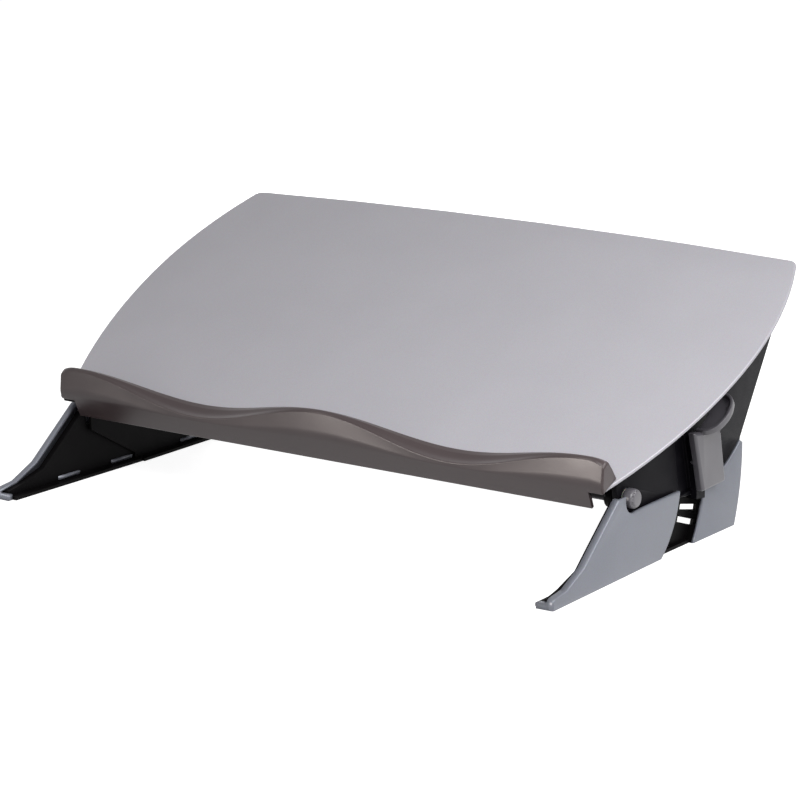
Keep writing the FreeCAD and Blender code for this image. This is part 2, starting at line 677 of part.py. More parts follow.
def make_panel_plate():
    """Flat plate of a side panel: nose round the shaft, straight top, swept rear edge."""
    body = new_body("right_panel_plate", "slope")
    chin = polar("lug_radius", "-tilt_angle - 90")
    heel = polar("heel_radius - 3.6", "-tilt_angle - 2.9")
    outline = [
        chin,
        polar("slot_outer + 6", "-tilt_angle - panel_sag"), heel,
        ("heel_radius - 10", "-61.1"), ("189.4", "-38.4"), ("228.4", "-13.3"),
        ("panel_tail - 6", "2", "30"), ("panel_tail", "panel_top"),
        ("-panel_nose", "panel_top"),
        (*polar("lug_radius", "-tilt_angle - 180"), "lug_radius"),
    ]
    pad(body, [outline], PANEL_IN, "panel_thickness")
    pocket(body, [("0", "0", "shaft_radius + shaft_play + bush_wall")], PANEL_IN,
           "panel_thickness")
    round_corners(body, [("panel_tail", "panel_top"), ("-panel_nose", "panel_top")], "3")
    return body


def make_hinge_lug():
    """Lug on the panel that carries the lever's hinge pin."""
    body = new_body("right_hinge_lug", "lever")
    half = "(hinge_radius + hinge_wall)"
    loop = [(PANEL_OUT, f"-{half}"), (f"{HINGE_X} + {half} / 2", f"-{half}"),
            (f"{HINGE_X} + {half}", f"-{half} / 2"), (f"{HINGE_X} + {half}", f"{half} / 2"),
            (f"{HINGE_X} + {half} / 2", half), (PANEL_OUT, half)]
    pad(body, [loop, (HINGE_X, "0", "hinge_radius + shaft_play")], "-lug_half", "2 * lug_half",
        plane="XZ_Plane")
    return body


def make_recess_tool():
    """Finger recess in the panel ahead of the lever, as the solid that is cut away."""
    body = new_body("right_recess_tool", "lever")
    loop = [("-31.5", "-19"), ("-14.5", "-22"), ("-14.5", "30"), ("-28.5", "27")]
    pad(body, [loop], f"{PANEL_OUT} - recess_depth", "recess_depth + 1")
    return body


def make_bar(label, at):
    """Folded steel cross bar: channel open below, with a tab turned up at each end."""
    body = new_body(label, "slope")
    front = f"({at} - bar_width / 2)"
    back = f"({at} + bar_width / 2)"
    top = "(channel_low - 0.4)"
    low = f"({top} - bar_height)"
    loop = [(front, low), (f"{front} + sheet_gauge", low),
            (f"{front} + sheet_gauge", f"{top} - sheet_gauge"),
            (f"{back} - sheet_gauge", f"{top} - sheet_gauge"), (f"{back} - sheet_gauge", low),
            (back, low), (back, top), (front, top)]
    pad(body, [loop], f"-{PANEL_IN}", f"2 * {PANEL_IN}")
    tab = box_loop(f"{front} + sheet_gauge", low, f"{back} - sheet_gauge",
                   f"{top} - sheet_gauge")
    pad(body, [tab], f"{PANEL_IN} - sheet_gauge", "sheet_gauge")
    pad(body, [tab], f"-{PANEL_IN}", "sheet_gauge")
    return body


def make_channel():
    """Fixed rail: steel channel on the panel's inner face, open to the middle."""
    body = new_body("right_fixed_rail", "slope")
    inner = f"({PANEL_IN} - channel_depth)"
    high = "(channel_low + channel_height)"
    web = f"({PANEL_IN} - sheet_gauge)"
    loop = [(PANEL_IN, "channel_low"), (PANEL_IN, high), (inner, high),
            (inner, f"{high} - sheet_gauge"), (web, f"{high} - sheet_gauge"),
            (web, "channel_low + sheet_gauge"), (inner, "channel_low + sheet_gauge"),
            (inner, "channel_low")]
    pad(body, [loop], "-channel_front", "channel_back - channel_front", plane="XZ_Plane",
        back=True)
    return body


def make_stops():
    """Plastic stops plugged into both ends of a channel."""
    plugs = []
    for name, start in (("front", "channel_front"), ("rear", "channel_back - stop_length")):
        body = new_body(f"right_{name}_stop", "slope")
        loop = box_loop(start, "channel_low + sheet_gauge", f"{start} + stop_length",
                        "channel_low + channel_height - sheet_gauge")
        pad(body, [loop], f"{PANEL_IN} - channel_depth", "channel_depth - sheet_gauge")
        plugs.append(body)
    return group("right_rail_stops", plugs)


# ---------------------------------------------------------------- platform

def make_platform():
    """Flat platform with bowed sides and a bowed back edge."""
    body = new_body("writing_platform", "slope")
    front_x = ("(half_width - front_side_radius + sqrt(front_side_radius^2"
               " - (widest_at + platform_front)^2))")
    corner_v = "(platform_back - back_bow)"
    back_x = ("(half_width - back_side_radius + sqrt(back_side_radius^2"
              f" - ({corner_v} - widest_at)^2))")
    bow_radius = f"(({back_x}^2 + back_bow^2) / (2 * back_bow))"
    outline = [
        (f"-{front_x}", "-platform_front"), (front_x, "-platform_front", "front_side_radius"),
        ("half_width", "widest_at", "back_side_radius"), (back_x, corner_v, bow_radius),
        (f"-{back_x}", corner_v, "back_side_radius"),
        ("-half_width", "widest_at", "front_side_radius"),
    ]
    pad(body, [outline], UNDERSIDE, "platform_thickness", plane="XY_Plane")
    spot = (value(back_x), value(corner_v))

    def is_rear_corner(edge):
        box = edge.BoundBox
        return (box.ZLength > 1 and abs(abs(box.XMin) - spot[0]) < 0.01
                and abs(box.YMin - spot[1]) < 0.01)
    fillet(body, edges_where(body, is_rear_corner), "corner_radius")
    return body


def ledge_section(rise):
    """Section of the ledge; rise is 0 in a trough and 1 on a crest."""
    def between(trough, crest):
        return f"(({trough}) + (({crest}) - ({trough})) * ({rise}))"
    front = "-platform_front"
    face = "platform_top"

    def corner(across, up):
        return f"{front} + {across}", f"{face} + {up}"
    fold = corner(between("-1.6", "-2.4"), between("trough_height - 0.4", "crest_height / 3"))
    brow = corner(between("5", "0.8"), between("trough_height - 1.9", "crest_height * 0.71"))
    ridge = corner(between("10.8", "6.6"), between("trough_height - 0.9", "crest_height - 0.6"))
    crown = corner(between("12.8", "8.6"), between("trough_height", "crest_height"))
    nape = corner(between("15", "11.2"), between("trough_height - 0.1", "crest_height - 1.4"))
    back = corner(between("ledge_foot - 0.6", "ledge_foot - 3.4"),
                  between("trough_height - 1.2", "crest_height * 0.8"))
    hollow = corner(between("ledge_foot - 0.2", "ledge_foot - 1.5"),
                    between("trough_height / 2 - 0.6", "crest_height * 0.45"))
    return [
        corner("-ledge_face", "-skirt_drop"), corner("0", "-skirt_drop"), corner("0", "0"),
        corner("ledge_foot", "0") + hollow, back, nape, crown, ridge + brow, fold,
    ]


def make_ledge():
    """Waved ledge: one loft through sections at every eighth of the wave and at the ends."""
    body = new_body("front_ledge", "slope")
    quarter = "wave_length / 4"
    stations = [("-ledge_half", 1)]
    for step in range(-4, 5):
        rise = (1 - step % 4 / 2) if step % 4 <= 2 else (step % 4 - 2) / 2
        stations.append((f"{step} * {quarter}", rise))
    stations.append(("ledge_half", 1))
    sketches = []
    for place, rise in stations:
        sketch = new_sketch(body, "YZ_Plane", place)
        draw(sketch, ledge_section(rise))
        sketches.append(sketch)
    DOC.recompute()
    loft = body.newObject("PartDesign::AdditiveLoft", "Wave")
    loft.Profile = sketches[0]
    loft.Sections = sketches[1:]
    loft.Ruled = False
    DOC.recompute()
    notch = box_loop("-platform_front - ledge_face - 1", "platform_top - skirt_drop - 1",
                     "-platform_front + 1", f"{UNDERSIDE} - 0.2")
    pocket(body, [notch], "skirt_half", "ledge_half - skirt_half + 1")
    pocket(body, [notch], "-skirt_half", "ledge_half - skirt_half + 1", back=True)
    return body


def make_runner():
    """Moving rail: steel angle under the platform, beside the channel."""
    body = new_body("right_glide_rail", "slope")
    inner = f"({RUNNER_WEB} - runner_flange)"
    outer = f"({RUNNER_WEB} + sheet_gauge)"
    low = "channel_low + sheet_gauge + 1"
    loop = [(outer, low), (outer, UNDERSIDE), (inner, UNDERSIDE),
            (inner, f"{UNDERSIDE} - sheet_gauge"),
            (RUNNER_WEB, f"{UNDERSIDE} - sheet_gauge"), (RUNNER_WEB, low)]
    start = "(channel_front + stop_length + glide_travel + block_play - 6)"
    pad(body, [loop], f"-{start}", f"channel_back - stop_length - {start}", plane="XZ_Plane",
        back=True)
    return body


def make_blocks():
    """Two nylon glide blocks of a runner, inside the channel."""
    first = "(channel_front + stop_length + glide_travel + block_play)"
    last = "(channel_back - stop_length - block_play - block_length)"
    blocks = []
    for name, start in (("front", first), ("rear", last)):
        body = new_body(f"right_{name}_block", "slope")
        loop = box_loop(start, "channel_low + sheet_gauge + block_play",
                        f"{start} + block_length",
                        "channel_low + channel_height - sheet_gauge - block_play")
        pad(body, [loop], f"{RUNNER_WEB} + sheet_gauge",
            "channel_depth - sheet_gauge")
        chamfer(body, [name for spot in loop for name in across_edges(body, spot)], "1.2")
        blocks.append(body)
    return group("right_glide_blocks", blocks)


# ---------------------------------------------------------------- lever

LEVER_LOOP = [("-16", "-21.2"), ("16.2", "-28.6"), ("18.3", "14"), ("-17.6", "28")]


def scoop_loop(wall):
    """Half-round outline of the scoop, a wall's thickness inside its outer face."""
    half = f"(scoop_length / 2 - {wall})"
    reach = f"(scoop_reach - {wall})"
    start = f"{SCOOP_IN} - {wall}"
    middle = "scoop_from + scoop_length / 2"

    def spot(angle):
        return f"{BLADE_OUT} + {reach} * cos({angle})", f"{middle} + {half} * sin({angle})"
    return [(start, f"{middle} - {half}"), spot(-90) + spot(-60), spot(-30) + spot(0),
            spot(30) + spot(60), spot(90), (start, f"{middle} + {half}")]


def make_scoop():
    """Finger scoop at the top of the lever: half-round dish, open to the panel, on a neck."""
    body = new_body("right_scoop", "scoop")
    pad(body, [scoop_loop("0")], "scoop_low", "scoop_height", plane="XY_Plane")
    end = "scoop_from + scoop_length - 3"
    neck = [("scoop_from", "scoop_low + 1"), ("5", "8"), ("19", "4"),
            (end, "scoop_low - 8"), (end, "scoop_low + 1")]
    pad(body, [neck], SCOOP_IN, f"{BLADE_OUT} - 1 - {SCOOP_IN}")
    pocket(body, [scoop_loop("scoop_wall")], "scoop_low + scoop_floor", "scoop_height",
           plane="XY_Plane")
    return body


def make_lever():
    """Grey lever: tapered blade with the finger scoop at its top."""
    body = new_body("right_blade", "lever")
    pad(body, [LEVER_LOOP], BLADE_IN, "lever_depth")
    chamfer(body, rim_edges(body, BLADE_OUT), "lever_chamfer")
    return combine("Part::MultiFuse", "right_lever", body, make_scoop())


def tooth_corner(along, up):
    """Corner of the tooth in the lever's frame, from its place in the rack."""
    angle = "(window_first + tooth_drop)"
    back = f"({RACK} * cos({angle}) - {RACK})"
    rise = f"(-{RACK} * sin({angle}) - hinge_rise)"
    turn = "(window_lean - window_first - lever_lean)"
    across = f"({along} * tooth_length / 2)"
    height = f"({up} * tooth_height / 2)"
    return (f"{back} * cos(lever_lean) + {rise} * sin(lever_lean) + {across} * cos{turn}"
            f" - {height} * sin{turn}",
            f"{rise} * cos(lever_lean) - {back} * sin(lever_lean) + {across} * sin{turn}"
            f" + {height} * cos{turn}")


def make_catch():
    """Black catch behind the lever: leg through the slot, tooth, web and hinge knuckles."""
    body = new_body("right_catch", "lever")
    leg = [("-14.4", "-18.9"), tooth_corner(-1.35, -0.75), tooth_corner(1.15, -0.75),
           ("-2.6", "-20"), ("-3.5", "-8"), ("5", "-2.4"), ("-hinge_half", "-2.4")]
    pad(body, [leg], CATCH_IN, "catch_depth")
    web_in = f"({PANEL_OUT} + squeeze_room)"
    web = [("-hinge_half", "-2.6"), ("hinge_half - 3", "-2.6"), ("hinge_half + 3", "12"),
           ("-hinge_half - 3", "20")]
    pad(body, [web], web_in, f"{BLADE_IN} - {web_in}")
    half = "(hinge_depth - 0.15)"
    knuckle = [(f"{HINGE_X} - {half}", f"-{half} / 2"), (f"{HINGE_X} - {half} / 2", f"-{half}"),
               (f"{HINGE_X} + {half}", f"-{half}"), (f"{HINGE_X} + {half}", half),
               (f"{HINGE_X} - {half} / 2", half), (f"{HINGE_X} - {half}", f"{half} / 2")]
    pad(body, [knuckle], "-hinge_half", "2 * hinge_half", plane="XZ_Plane")
    room = box_loop("-lug_half - lever_gap", "-hinge_radius - hinge_wall - lever_gap",
                    "hinge_half - 4", "hinge_radius + hinge_wall + lever_gap")
    pocket(body, [room], PANEL_OUT, "lever_gap + catch_depth")
    pocket(body, [(HINGE_X, "0", "hinge_radius + shaft_play")], "-hinge_half",
           "2 * hinge_half", plane="XZ_Plane")
    tooth = [tooth_corner(*end) for end in ((-1, -1), (1, -1), (1, 1), (-1, 1))]
    start = f"({COVER_IN} + lever_gap)"
    pad(body, [tooth], start, f"{CATCH_IN} - {start}")
    return body


def make_hinge_pin():
    """Steel hinge pin of the lever."""
    body = new_body("right_hinge_pin", "lever")
    pad(body, [(HINGE_X, "0", "hinge_radius")], "-hinge_half", "2 * hinge_half",
        plane="XZ_Plane")
    return body


def make_spring():
    """Bent leaf spring between the panel and the catch's web, hooked over the hinge pin."""
    body = new_body("right_lever_spring", "lever")
    web_in = f"({PANEL_OUT} + squeeze_room)"
    low = "(hinge_radius + 0.1)"
    gauge = "spring_gauge"
    leaf = [(f"{HINGE_X} - 1.2", low), (web_in, low), (web_in, f"{low} + spring_rise"),
            (f"{web_in} - {gauge}", f"{low} + spring_rise"),
            (f"{web_in} - {gauge}", f"{low} + {gauge}"),
            (f"{HINGE_X} - 1.2 + {gauge}", f"{low} + {gauge}"),
            (f"{PANEL_OUT} + {gauge} + 0.65", f"{low} + spring_rise / 2"),
            (f"{PANEL_OUT} + 0.65", f"{low} + spring_rise / 2")]
    pad(body, [leaf], "-lug_half - 1", "spring_width", plane="XZ_Plane", back=True)
    return body


# ---------------------------------------------------------------- assembly

SHEET = make_sheet()

right = {}
right["foot_frame"] = make_foot_frame()
right["front_cover"] = make_front_cover()
right["rear_cover"] = make_rear_cover()
right["foot_pads"] = make_pads()
right["pivot_cap"] = make_cap()
right["pivot_bush"] = make_bush()
right["side_panel"] = combine("Part::Cut", "right_side_panel",
                              combine("Part::MultiFuse", "right_panel_blank",
                                      make_panel_plate(), make_hinge_lug()),
                              make_recess_tool())
right["fixed_rail"] = make_channel()
right["rail_stops"] = make_stops()
right["glide_rail"] = make_runner()
right["glide_blocks"] = make_blocks()
right["lever"] = make_lever()
right["catch"] = make_catch()
right["hinge_pin"] = make_hinge_pin()
right["lever_spring"] = make_spring()

nodes = {f"right_{name}": piece for name, piece in right.items()}
for name, piece in right.items():
    nodes[f"left_{name}"] = mirror(f"left_{name}", piece)
nodes["pivot_shaft"] = make_shaft()
nodes["front_cross_bar"] = make_bar("front_cross_bar", "front_bar_at")
nodes["rear_cross_bar"] = make_bar("rear_cross_bar", "rear_bar_at")
nodes["writing_platform"] = make_platform()
nodes["front_ledge"] = make_ledge()

DOC.recompute()
failed = [item for item in DOC.Objects if {"Invalid", "Error"} & set(item.State)]
if failed:
    owners = [f"{owner.Label}/{item.Label}" for item in failed for owner in item.InListRecursive]
    raise RuntimeError(f"failed features: {owners}")
os.makedirs("parts", exist_ok=True)
for name, piece in nodes.items():
    shape = piece.Shape
    if shape.isNull() or not shape.isValid() or not shape.Solids:
        raise RuntimeError(f"{name} has no valid solid")
for name, piece in nodes.items():
    piece.Shape.exportStep(f"parts/{name}.step")
    print(name, len(piece.Shape.Solids), round(piece.Shape.Volume, 1))
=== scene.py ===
import json
import math

import bmesh
import bpy
from mathutils import Matrix, Vector


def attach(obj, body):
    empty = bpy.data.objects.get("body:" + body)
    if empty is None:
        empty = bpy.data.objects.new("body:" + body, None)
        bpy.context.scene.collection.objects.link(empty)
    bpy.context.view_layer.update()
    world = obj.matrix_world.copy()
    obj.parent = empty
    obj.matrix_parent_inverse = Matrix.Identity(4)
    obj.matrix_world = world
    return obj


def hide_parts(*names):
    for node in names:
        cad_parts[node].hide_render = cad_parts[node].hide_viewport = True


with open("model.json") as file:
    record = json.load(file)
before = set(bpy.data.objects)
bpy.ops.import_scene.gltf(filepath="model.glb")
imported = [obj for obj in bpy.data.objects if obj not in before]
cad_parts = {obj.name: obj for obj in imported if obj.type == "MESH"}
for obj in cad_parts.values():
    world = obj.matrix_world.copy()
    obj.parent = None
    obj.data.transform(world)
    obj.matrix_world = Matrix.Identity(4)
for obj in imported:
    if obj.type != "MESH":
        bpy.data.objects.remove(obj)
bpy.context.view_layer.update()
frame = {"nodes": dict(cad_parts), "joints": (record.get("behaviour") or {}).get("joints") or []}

# ---------------------------------------------------------------------------
# Foot frames. Each foot has an upright plate with the rack windows, a bottom flange and the
# boss for the shaft, moulded in black ABS. The spark-eroded tool leaves a fine grain that
# scatters light into a dull sheen; it is drawn 0.4 mm wide, twice its size, so that it shows.

FRAME_GRAIN, HANDLING_MARK = 0.4, 17.0
WELD, SLIVER = 3e-6, 1e-5
FLAT_ANGLE, EDGE_ANGLE = math.radians(0.6), math.radians(28)


def linear(code):
    """sRGB hex colour as linear RGBA."""
    parts = [int(code[i:i + 2], 16) / 255 for i in (0, 2, 4)]
    return (*[c / 12.92 if c <= 0.04045 else ((c + 0.055) / 1.055) ** 2.4 for c in parts], 1)


def add_node(tree, kind, settings=None, inputs=None):
    """Add one node. Inputs take a value, or an output socket to link from."""
    node = tree.nodes.new(kind)
    for name, setting in (settings or {}).items():
        setattr(node, name, setting)
    for name, source in (inputs or {}).items():
        if isinstance(source, bpy.types.NodeSocket):
            tree.links.new(source, node.inputs[name])
        else:
            node.inputs[name].default_value = source
    return node


def new_material(name):
    """Empty material with its tree, its output and object coordinates in millimetres."""
    material = bpy.data.materials.new(name)
    material.use_nodes = True
    tree = material.node_tree
    tree.nodes.clear()
    output = add_node(tree, "ShaderNodeOutputMaterial")
    place = add_node(tree, "ShaderNodeTexCoord").outputs["Object"]
    millimetres = add_node(tree, "ShaderNodeVectorMath", {"operation": "SCALE"},
                           {0: place, "Scale": 1000.0}).outputs["Vector"]
    return material, tree, output, millimetres


def spread(tree, source, low, high, start=0.3, end=0.7):
    """Map the middle of a noise to a range."""
    return add_node(tree, "ShaderNodeMapRange", None,
                    {"Value": source, "From Min": start, "From Max": end,
                     "To Min": low, "To Max": high}).outputs["Result"]


def two_tone(tree, source, dark, light, start=0.35, end=0.65):
    """Colour between two hex colours."""
    ramp = add_node(tree, "ShaderNodeValToRGB", None, {"Fac": source})
    for element, place, code in zip(ramp.color_ramp.elements, (start, end), (dark, light)):
        element.position = place
        element.color = linear(code)
    return ramp.outputs["Color"]


def moulded_plastic(name, dark, light, roughness, grain_mm, grain_depth, mottle_mm=40.0,
                    shine=0.5):
    """Injection-moulded thermoplastic: tool grain, faint flow marks and handling marks."""
    material, tree, output, place = new_material(name)
    mottle = add_node(tree, "ShaderNodeTexNoise", None,
                      {"Vector": place, "Scale": 1 / mottle_mm, "Detail": 2.0})
    grain = add_node(tree, "ShaderNodeTexNoise", None,
                     {"Vector": place, "Scale": 1 / grain_mm, "Detail": 3.0})
    smear = add_node(tree, "ShaderNodeTexNoise", None,
                     {"Vector": place, "Scale": 1 / HANDLING_MARK, "Detail": 4.0,
                      "Distortion": 0.6})
    gloss = add_node(tree, "ShaderNodeMath", {"operation": "ADD"},
                     {0: spread(tree, grain.outputs["Fac"], -0.04, 0.04),
                      1: spread(tree, smear.outputs["Fac"], roughness - 0.03,
                                roughness + 0.03)})
    relief = add_node(tree, "ShaderNodeBump", None,
                      {"Height": grain.outputs["Fac"], "Strength": grain_depth,
                       "Distance": 0.0001})
    shader = add_node(tree, "ShaderNodeBsdfPrincipled", None,
                      {"Base Color": two_tone(tree, mottle.outputs["Fac"], dark, light),
                       "Roughness": gloss.outputs["Value"], "IOR": 1.53,
                       "Specular IOR Level": shine, "Normal": relief.outputs["Normal"]})
    tree.links.new(shader.outputs[0], output.inputs["Surface"])
    return material


def dress(names, material):
    """Give CAD nodes a finish."""
    for name in names:
        slots = frame["nodes"][name].data.materials
        slots.clear()
        slots.append(material)


def both(*names):
    """Right-hand and left-hand node names."""
    return [f"{side}_{name}" for name in names for side in ("right", "left")]


def new_piece(name, mesh, body, nodes=()):
    """Object at the origin that rides on a body and stands for the nodes given."""
    piece = bpy.data.objects.new(name, mesh)
    bpy.context.scene.collection.objects.link(piece)
    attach(piece, body)
    if nodes:
        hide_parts(*nodes)
    return piece


def moulded_copy(node, suffix, body, material, radius, segments=3, outside=False):
    """Copy of a CAD node with its sharp edges rounded, or only those of its outer face."""
    work = bmesh.new()
    work.from_mesh(frame["nodes"][node].data)
    bmesh.ops.remove_doubles(work, verts=work.verts, dist=WELD)
    bmesh.ops.dissolve_degenerate(work, edges=work.edges, dist=SLIVER)
    bmesh.ops.dissolve_limit(work, angle_limit=FLAT_ANGLE, verts=work.verts,
                             edges=work.edges)
    bmesh.ops.recalc_face_normals(work, faces=work.faces)
    for face in work.faces:
        face.smooth = True
    rounded_edge = work.edges.layers.float.new("bevel_weight_edge")
    for edge in work.edges:
        turn = edge.calc_face_angle(0)
        # Near 1 where one of the edge's faces looks sideways, away from the object's middle.
        outer = max((face.normal.x * math.copysign(1, face.calc_center_median().x)
                     for face in edge.link_faces), default=0)
        if turn > EDGE_ANGLE and (outer > 0.5 or not outside):
            edge[rounded_edge] = 1.0
    mesh = bpy.data.meshes.new(f"{node}_{suffix}")
    work.to_mesh(mesh)
    work.free()
    mesh.materials.append(material)
    piece = new_piece(f"{node}_{suffix}", mesh, body, [node])
    rounding = piece.modifiers.new("moulding_radius", "BEVEL")
    rounding.width = radius / 1000
    rounding.segments = segments
    rounding.limit_method = "WEIGHT"
    rounding.use_clamp_overlap = False
    rounding.harden_normals = True
    rounding.miter_outer = "MITER_ARC"
    return piece


frame_abs = moulded_plastic("spark_eroded_black_abs", "070607", "0a090a", roughness=0.5,
                            grain_mm=FRAME_GRAIN, grain_depth=0.5, shine=0.04)
dress(both("foot_frame", "rail_stops"), frame_abs)

# ---------------------------------------------------------------------------
# Foot covers. Thin shells that snap over the frames from outside, moulded in ABS with
# aluminium flake pigment, which gives a cool satin grey with a fine sparkle. The flakes are
# drawn 0.35 mm wide, several times their size, so that they show. Outer edges are rounded.

COVER_EDGE, FLAKE, FLOW_MARK = 0.5, 0.35, 55.0


def flake_plastic(name, dark, light, roughness, flake_mm):
    """Moulding with metal flake pigment: each flake is a small patch with its own gloss."""
    material, tree, output, place = new_material(name)
    mottle = add_node(tree, "ShaderNodeTexNoise", None,
                      {"Vector": place, "Scale": 1 / FLOW_MARK, "Detail": 2.0})
    flakes = add_node(tree, "ShaderNodeTexVoronoi", None,
                      {"Vector": place, "Scale": 1 / flake_mm})
    sparkle = add_node(tree, "ShaderNodeSeparateColor", None,
                       {"Color": flakes.outputs["Color"]})
    base = two_tone(tree, mottle.outputs["Fac"], dark, light)
    # Sockets 6, 7 and output 2 are the Mix node's colours.
    speck = add_node(tree, "ShaderNodeMix", {"data_type": "RGBA", "blend_type": "OVERLAY"},
                     {"Factor": 0.12, 6: base, 7: flakes.outputs["Color"]})
    plain = add_node(tree, "ShaderNodeHueSaturation", None,
                     {"Color": speck.outputs[2], "Saturation": 0.9})
    shader = add_node(tree, "ShaderNodeBsdfPrincipled", None,
                      {"Base Color": plain.outputs["Color"], "Metallic": 0.25,
                       "Roughness": spread(tree, sparkle.outputs["Red"], roughness - 0.05,
                                           roughness + 0.05, 0.0, 1.0), "IOR": 1.53})
    tree.links.new(shader.outputs[0], output.inputs["Surface"])
    return material


cover_abs = flake_plastic("metallic_silver_abs", "6b6e78", "6e717b", roughness=0.42,
                          flake_mm=FLAKE)
for node in both("front_cover", "rear_cover"):
    moulded_copy(node, "shell", "base", cover_abs, COVER_EDGE, outside=True)

# ---------------------------------------------------------------------------
# Foot pads. Two strips of black rubber bonded under each sole, with a matte sanded face that
# grips the desk.

pad_rubber = moulded_plastic("sanded_black_rubber", "141414", "1b1b1b", roughness=0.88,
                             grain_mm=0.6, grain_depth=0.8)
dress(both("foot_pads"), pad_rubber)

# ---------------------------------------------------------------------------
# Cross shaft, hinge pins and lever springs. Turned steel with fine rings from the tool, drawn
# 0.8 mm apart, wider than real, so that they show. The shaft is chemically blackened, the pins
# are bright, and the springs are hardened strip.

RING, STAIN = 0.8, 12.0
BANDS_APART = 0.31    # spacing of a wave texture's bands at a scale of 1


def turned_steel(name, dark, light, roughness):
    """Turned or rolled steel: bare metal, fine lines across the axis, uneven gloss."""
    material, tree, output, place = new_material(name)
    rings = add_node(tree, "ShaderNodeTexWave",
                     {"wave_type": "BANDS", "bands_direction": "X"},
                     {"Vector": place, "Scale": BANDS_APART / RING, "Distortion": 1.2,
                      "Detail": 2.0})
    stain = add_node(tree, "ShaderNodeTexNoise", None,
                     {"Vector": place, "Scale": 1 / STAIN, "Detail": 3.0})
    relief = add_node(tree, "ShaderNodeBump", None,
                      {"Height": rings.outputs["Fac"], "Strength": 0.25, "Distance": 0.00005})
    shader = add_node(tree, "ShaderNodeBsdfPrincipled", None,
                      {"Base Color": two_tone(tree, stain.outputs["Fac"], dark, light),
                       "Metallic": 1.0, "Normal": relief.outputs["Normal"],
                       "Roughness": spread(tree, rings.outputs["Fac"], roughness - 0.06,
                                           roughness + 0.08, 0.0, 1.0)})
    tree.links.new(shader.outputs[0], output.inputs["Surface"])
    return material


dress(["pivot_shaft"],
      turned_steel("blackened_steel", "151416", "1e1d1f", roughness=0.4))
dress(both("hinge_pin"),
      turned_steel("turned_steel", "a9a8ab", "b9b8bb", roughness=0.3))
dress(both("lever_spring"),
      turned_steel("hardened_spring_steel", "5d5c62", "6f6e74", roughness=0.35))

# ---------------------------------------------------------------------------
# Pivot caps. Round grey ABS buttons pressed on the shaft's ends, with a generous radius
# round the face and a satin gloss. Outside the bore they are drawn slightly slimmer, which
# leaves a dark ring between button and cover.

CAP_EDGE, CAP_BORE, CAP_SLIMMER = 1.0, 0.0055, 0.88
tilt_joint = next(joint for joint in frame["joints"] if joint["name"] == "tilt")
shaft = Vector(tilt_joint["pos_m"])
cap_abs = moulded_plastic("satin_grey_cap_abs", "575559", "5d5b60", roughness=0.36,
                          grain_mm=0.35, grain_depth=0.25)
for node in both("pivot_cap"):
    button = moulded_copy(node, "button", "base", cap_abs, CAP_EDGE,
                          segments=4)
    for vertex in button.data.vertices:
        spoke = (vertex.co - shaft) * Vector((0, 1, 1))
        if spoke.length > CAP_BORE:
            vertex.co -= spoke * (1 - CAP_SLIMMER)

# ---------------------------------------------------------------------------
# Bushes and glide blocks. Natural nylon, a waxy off-white that light enters a little way.

nylon = moulded_plastic("natural_nylon", "d6d3c8", "dfddd3", roughness=0.48, grain_mm=0.5,
                        grain_depth=0.2)
waxiness = nylon.node_tree.nodes["Principled BSDF"].inputs
waxiness["Subsurface Weight"].default_value = 0.15
waxiness["Subsurface Scale"].default_value = 0.001
dress(both("glide_blocks", "pivot_bush"), nylon)

# ---------------------------------------------------------------------------
# Rails. Channels and angles folded from 1.2 mm sheet steel and zinc plated: a cool grey
# metal with a faint patchy bloom.

SHEET_PATCH = 5.0


def plated_sheet(name, dark, light, roughness, patch_mm):
    """Zinc-plated sheet: bare metal in soft patches, each with its own tone and gloss."""
    material, tree, output, place = new_material(name)
    bend = add_node(tree, "ShaderNodeTexNoise", None, {"Vector": place, "Scale": 0.15})
    warped = add_node(tree, "ShaderNodeVectorMath", {"operation": "ADD"},
                      {0: place, 1: bend.outputs["Color"]})
    patches = add_node(tree, "ShaderNodeTexVoronoi", {"feature": "SMOOTH_F1"},
                       {"Vector": warped.outputs["Vector"], "Scale": 1 / patch_mm,
                        "Smoothness": 0.6})
    tone = add_node(tree, "ShaderNodeSeparateColor", None, {"Color": patches.outputs["Color"]})
    shader = add_node(tree, "ShaderNodeBsdfPrincipled", None,
                      {"Base Color": two_tone(tree, tone.outputs["Red"], dark, light, 0.1, 0.9),
                       "Metallic": 1.0,
                       "Roughness": spread(tree, tone.outputs["Green"], roughness - 0.05,
                                           roughness + 0.07, 0.0, 1.0)})
    tree.links.new(shader.outputs[0], output.inputs["Surface"])
    return material


zinc = plated_sheet("zinc_plated_sheet_steel", "9fa2a6", "b0b3b7", roughness=0.38,
                    patch_mm=SHEET_PATCH)
dress(both("fixed_rail", "glide_rail"), zinc)

# ---------------------------------------------------------------------------
# Cross bars. Folded sheet steel, powder coated black: a slightly pebbled film with a dull
# gloss. They tie the two side panels together.

PEBBLE, GRIT = 1.3, 0.4


def powder_coat(name, dark, light, roughness):
    """Powder coat: rolling orange peel over a fine grit."""
    material, tree, output, place = new_material(name)
    pebbles = add_node(tree, "ShaderNodeTexVoronoi", {"feature": "SMOOTH_F1"},
                       {"Vector": place, "Scale": 1 / PEBBLE, "Smoothness": 1.0})
    grit = add_node(tree, "ShaderNodeTexNoise", None,
                    {"Vector": place, "Scale": 1 / GRIT, "Detail": 2.0})
    relief = add_node(tree, "ShaderNodeBump", None,
                      {"Height": pebbles.outputs["Distance"], "Strength": 0.35,
                       "Distance": 0.0002})
    shader = add_node(tree, "ShaderNodeBsdfPrincipled", None,
                      {"Base Color": two_tone(tree, grit.outputs["Fac"], dark, light),
                       "Roughness": spread(tree, grit.outputs["Fac"], roughness - 0.04,
                                           roughness + 0.04),
                       "Normal": relief.outputs["Normal"], "IOR": 1.5})
    tree.links.new(shader.outputs[0], output.inputs["Surface"])
    return material


